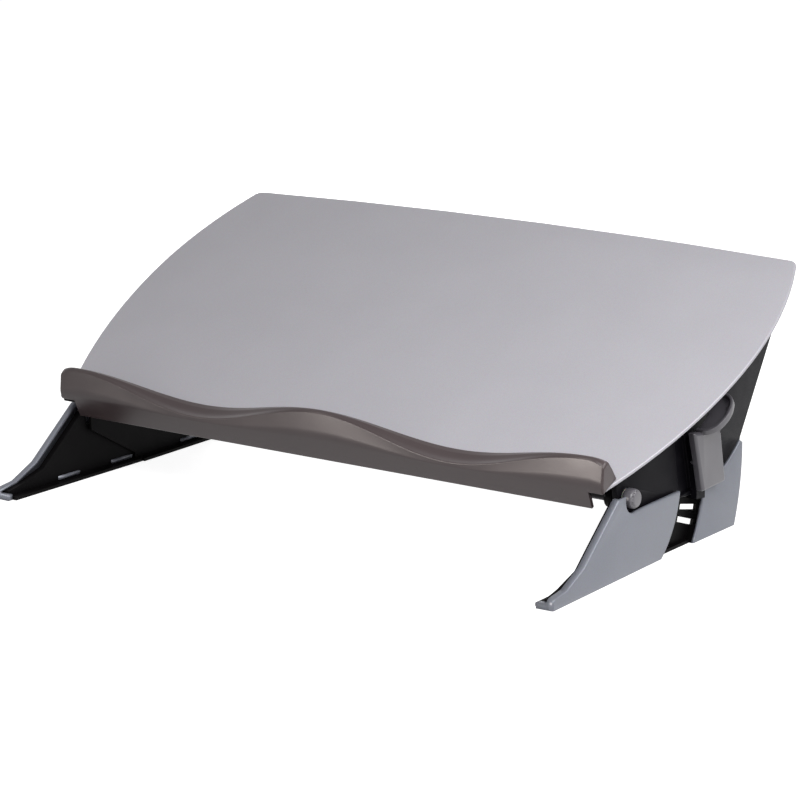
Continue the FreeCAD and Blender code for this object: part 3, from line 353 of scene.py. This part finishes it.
dress(["front_cross_bar", "rear_cross_bar"],
      powder_coat("black_powder_coat", "151515", "1c1c1c", roughness=0.45))

# ---------------------------------------------------------------------------
# Side panels and catches. Moulded black ABS plates of the tilting cradle, with the finger
# recess beside the lever, and the catches that reach through the slots into the racks. The
# fine grain leaves them deep black with a dull satin gloss.

PANEL_EDGE = 0.4
panel_abs = moulded_plastic("satin_black_abs", "0c0b0f", "100f13", roughness=0.45,
                            grain_mm=0.4, grain_depth=0.35, shine=0.05)
dress(both("catch"), panel_abs)
for node in both("side_panel"):
    moulded_copy(node, "plate", "cradle", panel_abs, PANEL_EDGE, segments=2)

# ---------------------------------------------------------------------------
# Platform. One flat sheet, 3 mm thick, with bowed sides, moulded in silver-grey
# polystyrene with a matte top. Its rim is rounded all the way round and catches the light.

PLATFORM_EDGE, PLATFORM_FLAKE = 1.2, 0.3
platform_ps = flake_plastic("satin_silver_polystyrene", "a3a1a8", "a5a3aa", roughness=0.5,
                            flake_mm=PLATFORM_FLAKE)
moulded_copy("writing_platform", "sheet", "platform", platform_ps,
             PLATFORM_EDGE, segments=4)

# ---------------------------------------------------------------------------
# Ledge. A moulding along the platform's front edge. Its ridge stands high in the middle and
# at both ends and leans back there, and it dips twice between, where a finger reaches the
# paper. Warm charcoal ABS, semi-gloss. The wave is a cosine, worked out in the node tree.

glide_joint = next(joint for joint in frame["joints"] if joint["name"] == "glide")
glide_axis = Vector(glide_joint["axis"])
TILT = math.atan2(-glide_axis.z, -glide_axis.y)
PLATFORM_FRONT, PLATFORM_TOP, PLATFORM_THICKNESS = 25.6, 24.8, 3.0
LEDGE_HALF, SKIRT_HALF, LEDGE_FACE, SKIRT_DROP, LEDGE_FOOT = 250.0, 236.5, 3.0, 15.3, 16.6
CREST, TROUGH, WAVE = 22.3, 4.3, 234.0
END_ROUNDING, END_FALL, END_EDGE, END_RADIUS = 13.0, 0.2, 0.4, 1.8
CORNER_STEPS, STATIONS = 7, 501
MOST_OF_SIDE = 0.49    # a corner's rounding takes up no more of a side than this
CORE = Vector((5.0, CREST / 2 - 2.0))    # the end faces draw in towards this point
LEDGE_WELD, LEDGE_SHARP = 1e-6, math.radians(35)


def on_slope(across, back, up):
    """Point of the tilted cradle in metres, from millimetres off the shaft axis."""
    return shaft + Vector((across, back * math.cos(TILT) - up * math.sin(TILT),
                           back * math.sin(TILT) + up * math.cos(TILT))) / 1000


def ledge_section(rise):
    """Corners of the ledge's section with the radius that each is rounded to."""
    def between(trough, crest):
        return trough + (crest - trough) * rise
    return [
        (0.0, 0.0, 0.0), (0.0, -SKIRT_DROP, 0.6), (-LEDGE_FACE, -SKIRT_DROP, 0.9),
        (between(-3.0, -2.8), between(1.0, CREST / 3), between(3.0, 16.0)),
        (between(-1.9, 6.2), between(TROUGH, CREST - 0.8), between(1.1, 1.5)),
        (between(4.2, 7.6), between(2.5, CREST + 0.4), between(30.0, 1.0)),
        (9.4, between(TROUGH, CREST + 0.6), between(3.0, 1.6)),
        (between(13.6, 12.2), between(TROUGH, CREST - 1.6), between(1.2, 2.6)),
        (between(15.6, 15.0), between(TROUGH / 3, CREST / 2), between(1.0, 30.0)),
        (LEDGE_FOOT, 0.0, 0.0),
    ]


def rounded(corners):
    """Closed section with rounded corners, as many points for the crest as the trough."""
    points = []
    for index, (across, up, radius) in enumerate(corners):
        here = Vector((across, up))
        before = Vector(corners[index - 1][:2]) - here
        after = Vector(corners[(index + 1) % len(corners)][:2]) - here
        opening = before.angle(after)
        reach = min(radius / math.tan(opening / 2), MOST_OF_SIDE * before.length,
                    MOST_OF_SIDE * after.length)
        start = here + before.normalized() * reach
        end = here + after.normalized() * reach
        for step in range(CORNER_STEPS):
            share = step / (CORNER_STEPS - 1)
            points.append((1 - share) ** 2 * start + 2 * share * (1 - share) * here
                          + share ** 2 * end)
    return points + points[:1]


def wave_tree(count):
    """Node tree that lofts a section between trough and crest along the ledge."""
    tree = bpy.data.node_groups.new("waved_ledge", "GeometryNodeTree")
    tree.interface.new_socket("Section", in_out="INPUT", socket_type="NodeSocketGeometry")
    for label, size in (("Half Length", LEDGE_HALF), ("Wave Length", WAVE),
                        ("Skirt Half Length", SKIRT_HALF), ("Skirt Drop", SKIRT_DROP),
                        ("End Rounding", END_ROUNDING), ("End Radius", END_RADIUS)):
        socket = tree.interface.new_socket(label, in_out="INPUT",
                                           socket_type="NodeSocketFloat")
        socket.default_value = size / 1000
    tree.interface.new_socket("Stations", in_out="INPUT",
                              socket_type="NodeSocketInt").default_value = STATIONS
    tree.interface.new_socket("Finish", in_out="INPUT", socket_type="NodeSocketMaterial")
    tree.interface.new_socket("Ledge", in_out="OUTPUT", socket_type="NodeSocketGeometry")
    given = add_node(tree, "NodeGroupInput").outputs

    def math_node(operation, *values):
        return add_node(tree, "ShaderNodeMath", {"operation": operation},
                        dict(enumerate(values))).outputs["Value"]
    # A grid with one row for each station and one column for each point of the section.
    last = math_node("SUBTRACT", given["Stations"], 1.0)
    sheet = add_node(tree, "GeometryNodeMeshGrid", None,
                     {"Size X": 1.0, "Size Y": 1.0, "Vertices X": given["Stations"],
                      "Vertices Y": count})
    index = add_node(tree, "GeometryNodeInputIndex").outputs["Index"]
    row = math_node("FLOOR", math_node("DIVIDE", math_node("ADD", index, 0.5), float(count)))
    column = math_node("SUBTRACT", index, math_node("MULTIPLY", row, float(count)))
    # The stations lie closer together towards the ends.
    share = math_node("SUBTRACT", math_node("MULTIPLY", math_node("DIVIDE", row, last), 2.0),
                      1.0)
    along = math_node("MULTIPLY", given["Half Length"],
                      math_node("SINE", math_node("MULTIPLY", share, math.pi / 2)))
    # The swell is 1 on a crest and 0 in a trough, and past the outer crests it stays 1.
    turn = math_node("DIVIDE", math_node("MULTIPLY", along, math.tau), given["Wave Length"])
    past = math_node("GREATER_THAN", math_node("ABSOLUTE", along), given["Wave Length"])
    swell = math_node("MULTIPLY_ADD", math_node("COSINE", turn), 0.5, 0.5)
    crest_line = math_node("MAXIMUM", swell, past)
    # Near the ends the ridge falls a little.
    near_end = math_node("SUBTRACT", math_node("ABSOLUTE", along),
                         math_node("SUBTRACT", given["Half Length"], given["End Rounding"]))
    near_end = math_node("DIVIDE", math_node("MAXIMUM", near_end, 0.0), given["End Rounding"])
    rise = math_node("SUBTRACT", crest_line,
                     math_node("MULTIPLY", math_node("MULTIPLY", near_end, near_end), END_FALL))
    # Beyond its own length the skirt is drawn up to a narrow edge.
    beyond = math_node("GREATER_THAN", math_node("ABSOLUTE", along),
                       given["Skirt Half Length"])
    cut_back = math_node("MULTIPLY", beyond, math_node("SUBTRACT", given["Skirt Drop"],
                                                       END_EDGE / 1000))

    def sampled(source, kind):
        node = add_node(tree, "GeometryNodeSampleIndex",
                        {"data_type": kind, "domain": "POINT"},
                        {"Geometry": given["Section"], "Value": source, "Index": column})
        return node.outputs["Value"]
    # Each point of the section is lifted from the trough towards the crest.
    place = sampled(add_node(tree, "GeometryNodeInputPosition").outputs[0], "FLOAT_VECTOR")
    crest = add_node(tree, "GeometryNodeInputNamedAttribute", {"data_type": "FLOAT_VECTOR"},
                     {"Name": "to_crest"}).outputs["Attribute"]
    lift = add_node(tree, "ShaderNodeVectorMath", {"operation": "SCALE"},
                    {0: sampled(crest, "FLOAT_VECTOR"), "Scale": rise}).outputs["Vector"]
    # Close to the end face the section draws in along a quarter circle.
    inward = add_node(tree, "GeometryNodeInputNamedAttribute", {"data_type": "FLOAT_VECTOR"},
                      {"Name": "inward"}).outputs["Attribute"]
    edge = math_node("SUBTRACT", math_node("ABSOLUTE", along),
                     math_node("SUBTRACT", given["Half Length"], given["End Radius"]))
    edge = math_node("DIVIDE", math_node("MAXIMUM", edge, 0.0), given["End Radius"])
    fall = math_node("SUBTRACT", 1.0, math_node("SQRT", math_node(
        "MAXIMUM", math_node("SUBTRACT", 1.0, math_node("MULTIPLY", edge, edge)), 0.0)))
    drawn_in = add_node(tree, "ShaderNodeVectorMath", {"operation": "SCALE"},
                        {0: sampled(inward, "FLOAT_VECTOR"),
                         "Scale": math_node("MULTIPLY", fall, given["End Radius"])})
    lift = add_node(tree, "ShaderNodeVectorMath", {"operation": "ADD"},
                    {0: lift, 1: drawn_in.outputs["Vector"]}).outputs["Vector"]
    hanging = add_node(tree, "GeometryNodeInputNamedAttribute", {"data_type": "FLOAT_VECTOR"},
                       {"Name": "skirt_up"}).outputs["Attribute"]
    short = add_node(tree, "ShaderNodeVectorMath", {"operation": "SCALE"},
                     {0: sampled(hanging, "FLOAT_VECTOR"), "Scale": cut_back})
    out = add_node(tree, "ShaderNodeCombineXYZ", None, {"X": along}).outputs["Vector"]
    out = add_node(tree, "ShaderNodeVectorMath", {"operation": "ADD"},
                   {0: short.outputs["Vector"], 1: out}).outputs["Vector"]
    total = add_node(tree, "ShaderNodeVectorMath", {"operation": "ADD"}, {0: place, 1: lift})
    total = add_node(tree, "ShaderNodeVectorMath", {"operation": "ADD"},
                     {0: total.outputs["Vector"], 1: out})
    moved = add_node(tree, "GeometryNodeSetPosition", None,
                     {"Geometry": sheet.outputs["Mesh"], "Position": total.outputs["Vector"]})
    real = add_node(tree, "GeometryNodeRealizeInstances", None,
                    {"Geometry": moved.outputs["Geometry"]})
    painted = add_node(tree, "GeometryNodeSetMaterial", None,
                       {"Geometry": real.outputs["Geometry"], "Material": given["Finish"]})
    add_node(tree, "NodeGroupOutput", None, {"Ledge": painted.outputs["Geometry"]})
    return tree


def grow(name, source, tree, **sizes):
    """Run a node tree on a mesh and return the result as a plain mesh."""
    host = bpy.data.objects.new(name, source)
    bpy.context.scene.collection.objects.link(host)
    modifier = host.modifiers.new(name, "NODES")
    modifier.node_group = tree
    for socket in tree.interface.items_tree:
        if socket.in_out == "INPUT" and socket.name in sizes:
            modifier[socket.identifier] = sizes[socket.name]
    bpy.context.view_layer.update()
    result = bpy.data.meshes.new_from_object(
        host.evaluated_get(bpy.context.evaluated_depsgraph_get()))
    bpy.data.objects.remove(host)
    result.name = name
    return result


ledge_abs = moulded_plastic("semi_gloss_charcoal_abs", "3e3435", "413738", roughness=0.33,
                            grain_mm=0.35, grain_depth=0.12, mottle_mm=60, shine=0.3)
troughs, crests = rounded(ledge_section(0)), rounded(ledge_section(1))


def section_point(point):
    """Section point, off the platform's front top edge, on the ledge's middle plane."""
    return on_slope(0, point.x - PLATFORM_FRONT, point.y + PLATFORM_TOP)


section = bpy.data.meshes.new("ledge_section")
section.from_pydata([section_point(point) for point in troughs], [], [])
to_crest = section.attributes.new("to_crest", "FLOAT_VECTOR", "POINT")
skirt_up = section.attributes.new("skirt_up", "FLOAT_VECTOR", "POINT")
inward = section.attributes.new("inward", "FLOAT_VECTOR", "POINT")
for index, (low, high) in enumerate(zip(troughs, crests)):
    inward.data[index].vector = (section_point(CORE) - section_point(high)).normalized()
    to_crest.data[index].vector = section_point(high) - section_point(low)
    if low.y < -SKIRT_DROP / 2:
        skirt_up.data[index].vector = (on_slope(0, 0, 1) - on_slope(0, 0, 0)) * 1000
ledge_mesh = grow("waved_front_ledge", section, wave_tree(len(troughs)), Finish=ledge_abs)
work = bmesh.new()
work.from_mesh(ledge_mesh)
bmesh.ops.remove_doubles(work, verts=work.verts, dist=LEDGE_WELD)
bmesh.ops.dissolve_degenerate(work, edges=work.edges, dist=LEDGE_WELD)
bmesh.ops.holes_fill(work, edges=[edge for edge in work.edges if edge.is_boundary])
bmesh.ops.recalc_face_normals(work, faces=work.faces)
for face in work.faces:
    face.smooth = True
work.to_mesh(ledge_mesh)
work.free()
ledge_mesh.set_sharp_from_angle(angle=LEDGE_SHARP)
new_piece("waved_front_ledge", ledge_mesh, "platform", ["front_ledge"])

# ---------------------------------------------------------------------------
# Ledge end strips. The ledge's skirt stops short of the ends; there a strip of the frames'
# black ABS, stuck along the platform's front edge, closes the gap. Its black is painted
# shade: it stands for the shadow in the gap under the ledge's ends.

STRIP_LENGTH, STRIP_DEPTH, STRIP_HEIGHT, STRIP_EDGE = 12.4, 1.9, 3.0, 0.3
STRIP_START, STRIP_AHEAD, STRIP_BELOW = 0.2, 1.1, 1.75
strip_middle = SKIRT_HALF + STRIP_START + STRIP_LENGTH / 2
for side, label in ((1, "right"), (-1, "left")):
    strip = bpy.data.meshes.new(f"{label}_ledge_shade_strip")
    work = bmesh.new()
    bmesh.ops.create_cube(work, size=1)
    for vert in work.verts:
        across, back, up = vert.co
        vert.co = on_slope(side * (strip_middle + across * STRIP_LENGTH),
                           -PLATFORM_FRONT - STRIP_AHEAD + back * STRIP_DEPTH,
                           PLATFORM_TOP - STRIP_BELOW + up * STRIP_HEIGHT)
    bmesh.ops.recalc_face_normals(work, faces=work.faces)
    bmesh.ops.bevel(work, geom=work.edges[:], offset=STRIP_EDGE / 1000, segments=2,
                    affect="EDGES")
    work.to_mesh(strip)
    work.free()
    # The strip's black is painted shade for the shadow under the ledge's ends.
    strip.materials.append(frame_abs)
    new_piece(f"{label}_ledge_shade_strip", strip, "platform")

# ---------------------------------------------------------------------------
# Levers. Satin grey ABS blades with a finger scoop, hinged on the side panels; a squeeze
# frees the catch from the rack. All their edges are soft to the touch.

LEVER_EDGE = 0.9
lever_abs = moulded_plastic("satin_grey_abs", "4f4d52", "545257", roughness=0.36,
                            grain_mm=0.35, grain_depth=0.2)
for side in ("right", "left"):
    moulded_copy(f"{side}_lever", "blade", f"{side}_lever_body", lever_abs,
                 LEVER_EDGE, segments=4)

# ---------------------------------------------------------------------------
# Screws. Pan heads of zinc-plated steel with a cross recess: they hold the ledge and the
# glide rails to the platform from below and the cross bars to the side panels. Each is set
# at its own turn, as a hand-driven screw is. The heads are cut in millimetres, then scaled.

SCREW_HEAD, SCREW_HEIGHT, SCREW_FACETS, SCREW_PATCH = 2.9, 1.5, 28, 2.0
# The dome and the recess are given as shares of the head's radius and height.
DOME, DOME_FLATNESS, DOME_DROP = 1.22, 0.62, 0.3
RECESS_WIDTH, RECESS_LENGTH, RECESS_LIFT = 0.22, 1.15, 1.1
RECESS_DEPTH, SECOND_RECESS_DEPTH = 1.0, 0.94
UNDERSIDE, SHEET = PLATFORM_TOP - PLATFORM_THICKNESS, 1.2
LEDGE_SCREWS_BACK, LEDGE_SCREW_PITCH = 8.0, 100
RAIL_LINE, RAIL_SCREWS_BACK = 224.4, (130, 178, 226)
PANEL_INSIDE, CROSS_BARS_BACK, CROSS_BAR_PAIR, CROSS_BAR_SCREWS_UP = 241.6, (52, 205), 6, -3.6


def screw_tree():
    """Node tree that puts a cross-recessed pan head on every point."""
    tree = bpy.data.node_groups.new("pan_head_screws", "GeometryNodeTree")
    tree.interface.new_socket("Places", in_out="INPUT", socket_type="NodeSocketGeometry")
    for label, size in (("Head Radius", SCREW_HEAD), ("Head Height", SCREW_HEIGHT)):
        tree.interface.new_socket(label, in_out="INPUT", socket_type="NodeSocketFloat"
                                  ).default_value = size
    tree.interface.new_socket("Facing", in_out="INPUT", socket_type="NodeSocketVector")
    tree.interface.new_socket("Seed", in_out="INPUT",
                              socket_type="NodeSocketInt").default_value = 7
    tree.interface.new_socket("Finish", in_out="INPUT", socket_type="NodeSocketMaterial")
    tree.interface.new_socket("Screws", in_out="OUTPUT", socket_type="NodeSocketGeometry")
    given = add_node(tree, "NodeGroupInput").outputs

    def scaled(source, factor):
        return add_node(tree, "ShaderNodeMath", {"operation": "MULTIPLY"},
                        {0: source, 1: factor}).outputs["Value"]
    radius, height = given["Head Radius"], given["Head Height"]
    # What a flattened dome and a short cylinder share is the pan head.
    rim = add_node(tree, "GeometryNodeMeshCylinder", None,
                   {"Vertices": SCREW_FACETS, "Radius": radius, "Depth": height})
    dome = add_node(tree, "GeometryNodeMeshUVSphere", None,
                    {"Segments": SCREW_FACETS, "Rings": SCREW_FACETS // 2,
                     "Radius": scaled(radius, DOME)})
    flat = add_node(tree, "ShaderNodeCombineXYZ", None,
                    {"X": 1.0, "Y": 1.0, "Z": DOME_FLATNESS})
    dome = add_node(tree, "GeometryNodeTransform", None,
                    {"Geometry": dome.outputs["Mesh"], "Scale": flat.outputs["Vector"]})
    low = add_node(tree, "ShaderNodeCombineXYZ", None, {"Z": scaled(radius, -DOME_DROP)})
    dome = add_node(tree, "GeometryNodeTransform", None,
                    {"Geometry": dome.outputs["Geometry"],
                     "Translation": low.outputs["Vector"]})
    raised = add_node(tree, "ShaderNodeCombineXYZ", None, {"Z": scaled(height, 0.5)})
    rim = add_node(tree, "GeometryNodeTransform", None,
                   {"Geometry": rim.outputs["Mesh"], "Translation": raised.outputs["Vector"]})
    head = add_node(tree, "GeometryNodeMeshBoolean", {"operation": "INTERSECT"})
    tree.links.new(rim.outputs["Geometry"], head.inputs["Mesh 2"])
    tree.links.new(dome.outputs["Geometry"], head.inputs["Mesh 2"])
    cross = add_node(tree, "GeometryNodeMeshBoolean", {"operation": "UNION"})
    # The second bar of the cross is shallower, so that their floors don't coincide.
    for wide, long, deep in ((RECESS_WIDTH, RECESS_LENGTH, RECESS_DEPTH),
                             (RECESS_LENGTH, RECESS_WIDTH, SECOND_RECESS_DEPTH)):
        size = add_node(tree, "ShaderNodeCombineXYZ", None,
                        {"X": scaled(radius, wide), "Y": scaled(radius, long),
                         "Z": scaled(height, deep)})
        bar = add_node(tree, "GeometryNodeMeshCube", None, {"Size": size.outputs["Vector"]})
        lift = add_node(tree, "ShaderNodeCombineXYZ", None, {"Z": scaled(height, RECESS_LIFT)})
        bar = add_node(tree, "GeometryNodeTransform", None,
                       {"Geometry": bar.outputs["Mesh"],
                        "Translation": lift.outputs["Vector"]})
        tree.links.new(bar.outputs["Geometry"], cross.inputs["Mesh 2"])
    recessed = add_node(tree, "GeometryNodeMeshBoolean", {"operation": "DIFFERENCE"},
                        {"Mesh 1": head.outputs["Mesh"], "Mesh 2": cross.outputs["Mesh"]})
    recessed = add_node(tree, "GeometryNodeMergeByDistance", None,
                        {"Geometry": recessed.outputs["Mesh"], "Distance": 0.002})
    turn = add_node(tree, "FunctionNodeRandomValue", {"data_type": "FLOAT"},
                    {"Min": 0.0, "Max": math.pi, "Seed": given["Seed"]})
    spin = add_node(tree, "ShaderNodeCombineXYZ", None, {"Z": turn.outputs["Value"]})
    heads = add_node(tree, "GeometryNodeInstanceOnPoints", None,
                     {"Points": given["Places"], "Instance": recessed.outputs["Geometry"],
                      "Rotation": given["Facing"], "Scale": (0.001, 0.001, 0.001)})
    heads = add_node(tree, "GeometryNodeRotateInstances", None,
                     {"Instances": heads.outputs["Instances"],
                      "Rotation": spin.outputs["Vector"]})
    real = add_node(tree, "GeometryNodeRealizeInstances", None,
                    {"Geometry": heads.outputs["Instances"]})
    painted = add_node(tree, "GeometryNodeSetMaterial", None,
                       {"Geometry": real.outputs["Geometry"], "Material": given["Finish"]})
    add_node(tree, "NodeGroupOutput", None, {"Screws": painted.outputs["Geometry"]})
    return tree


screws = screw_tree()
screw_zinc = plated_sheet("zinc_plated_screw_steel", "a4a6aa", "b4b6ba", roughness=0.3,
                          patch_mm=SCREW_PATCH)
below = (TILT + math.pi, 0.0, 0.0)


def drive(name, body, spots, facing):
    """One mesh of screws that ride on a body."""
    places = bpy.data.meshes.new(name)
    places.from_pydata([on_slope(*spot) for spot in spots], [], [])
    mesh = grow(name, places, screws, Facing=facing, Finish=screw_zinc)
    new_piece(name, mesh, body)


drive("ledge_screws", "platform",
      [(place * LEDGE_SCREW_PITCH, LEDGE_SCREWS_BACK - PLATFORM_FRONT, UNDERSIDE)
       for place in range(-2, 3)], below)
drive("glide_rail_screws", "platform",
      [(side * RAIL_LINE, back, UNDERSIDE - SHEET)
       for side in (1, -1) for back in RAIL_SCREWS_BACK], below)
for side, label in ((1, "right"), (-1, "left")):
    drive(f"{label}_bar_screws", "cradle",
          [(side * PANEL_INSIDE, back + off, CROSS_BAR_SCREWS_UP)
           for back in CROSS_BARS_BACK for off in (-CROSS_BAR_PAIR, CROSS_BAR_PAIR)],
          (TILT, -side * math.pi / 2, 0.0))

# ---------------------------------------------------------------------------
# Studio: pale floor that keeps the object's shadow, a plain white backdrop, soft lamps and
# the camera, which stands to the right in front, a little above the platform.

WHITE = linear("ffffff")
FLOOR_HALF, FLOOR_BELOW, FIBRE = 12, 0.0002, 2.0
FLOOR_GLOW, SKY_LIGHT = 0.91, 0.23
floor_mesh = bpy.data.meshes.new("studio_floor")
work = bmesh.new()
bmesh.ops.create_grid(work, x_segments=1, y_segments=1, size=FLOOR_HALF)
work.to_mesh(floor_mesh)
work.free()
floor = bpy.data.objects.new("studio_floor", floor_mesh)
bpy.context.scene.collection.objects.link(floor)
floor.location.z = -FLOOR_BELOW


def backdrop_share(tree):
    """1 for the rays that should see a plain white backdrop."""
    rays = add_node(tree, "ShaderNodeLightPath").outputs
    seen = rays["Is Camera Ray"]
    for kind in ("Is Glossy Ray", "Is Transmission Ray"):
        seen = add_node(tree, "ShaderNodeMath", {"operation": "MAXIMUM"},
                        {0: seen, 1: rays[kind]}).outputs["Value"]
    return seen


floor_material, tree, output, place = new_material("white_paper_sweep")
seen = backdrop_share(tree)
fibre = add_node(tree, "ShaderNodeTexNoise", None, {"Vector": place, "Scale": 1 / FIBRE})
paper = add_node(tree, "ShaderNodeBsdfDiffuse", None,
                 {"Color": two_tone(tree, fibre.outputs["Fac"], "c2c2c2", "c6c6c6")})
glow = add_node(tree, "ShaderNodeEmission", None, {"Color": WHITE, "Strength": FLOOR_GLOW})
lit = add_node(tree, "ShaderNodeAddShader", None, {0: paper.outputs[0], 1: glow.outputs[0]})
mix = add_node(tree, "ShaderNodeMixShader", None,
               {"Fac": seen, 1: paper.outputs[0], 2: lit.outputs[0]})
tree.links.new(mix.outputs[0], output.inputs["Surface"])
floor_mesh.materials.append(floor_material)

world = bpy.data.worlds.new("studio")
bpy.context.scene.world = world
world.use_nodes = True
sky = world.node_tree
sky.nodes.clear()
soft = add_node(sky, "ShaderNodeBackground", None, {"Color": WHITE, "Strength": SKY_LIGHT})
white = add_node(sky, "ShaderNodeBackground", None, {"Color": WHITE, "Strength": 1.0})
mix = add_node(sky, "ShaderNodeMixShader", None,
               {"Fac": backdrop_share(sky), 1: soft.outputs[0], 2: white.outputs[0]})
add_node(sky, "ShaderNodeOutputWorld", None, {"Surface": mix.outputs[0]})


def lamp(name, place, target, size, watts):
    """Square soft lamp aimed at a point."""
    light = bpy.data.lights.new(name, "AREA")
    light.size = size
    light.energy = watts
    lamp_object = bpy.data.objects.new(name, light)
    lamp_object.location = place
    aim = Vector(target) - Vector(place)
    lamp_object.rotation_euler = aim.to_track_quat("-Z", "Y").to_euler()
    bpy.context.scene.collection.objects.link(lamp_object)
    return lamp_object


# The rear box lights the back without a glint; the sheen box shows only in reflections.
lamp("key_softbox", (0.85, 0.05, 0.7), (0.2, 0.0, 0.1), size=0.5, watts=6)
rear = lamp("rear_softbox", (-1.0, 1.6, 0.35), (0, 0, 0.1), size=0.6, watts=26)
rear.visible_glossy = False
lamp("front_softbox", (0.5, -0.7, 0.85), (0.15, 0, 0.1), size=0.5, watts=9)
sheen = lamp("sheen_softbox", (-0.42, -1.42, 0.3), (0.2, -0.17, 0.06), size=0.6, watts=28)
sheen.visible_diffuse = False
sheen.data.color = linear("fff6f0")[:3]

camera_data = bpy.data.cameras.new("camera")
camera_data.lens = 153.078
camera_data.sensor_width = 36.0
# The camera's own axes, and where it stands off the shaft.
camera = bpy.data.objects.new("camera", camera_data)
right = Vector((0.820633, 0.571452, 0.001986))
down = Vector((0.137482, -0.194055, -0.971309))
ahead = Vector((-0.554671, 0.797362, -0.237812))
stand = shaft + Vector((1.45362, -2.018829, 0.645838))
camera.matrix_world = Matrix((
    (right.x, -down.x, -ahead.x, stand.x),
    (right.y, -down.y, -ahead.y, stand.y),
    (right.z, -down.z, -ahead.z, stand.z),
    (0, 0, 0, 1)))
bpy.context.scene.collection.objects.link(camera)
bpy.context.scene.camera = camera
bpy.context.scene.view_settings.view_transform = "Standard"
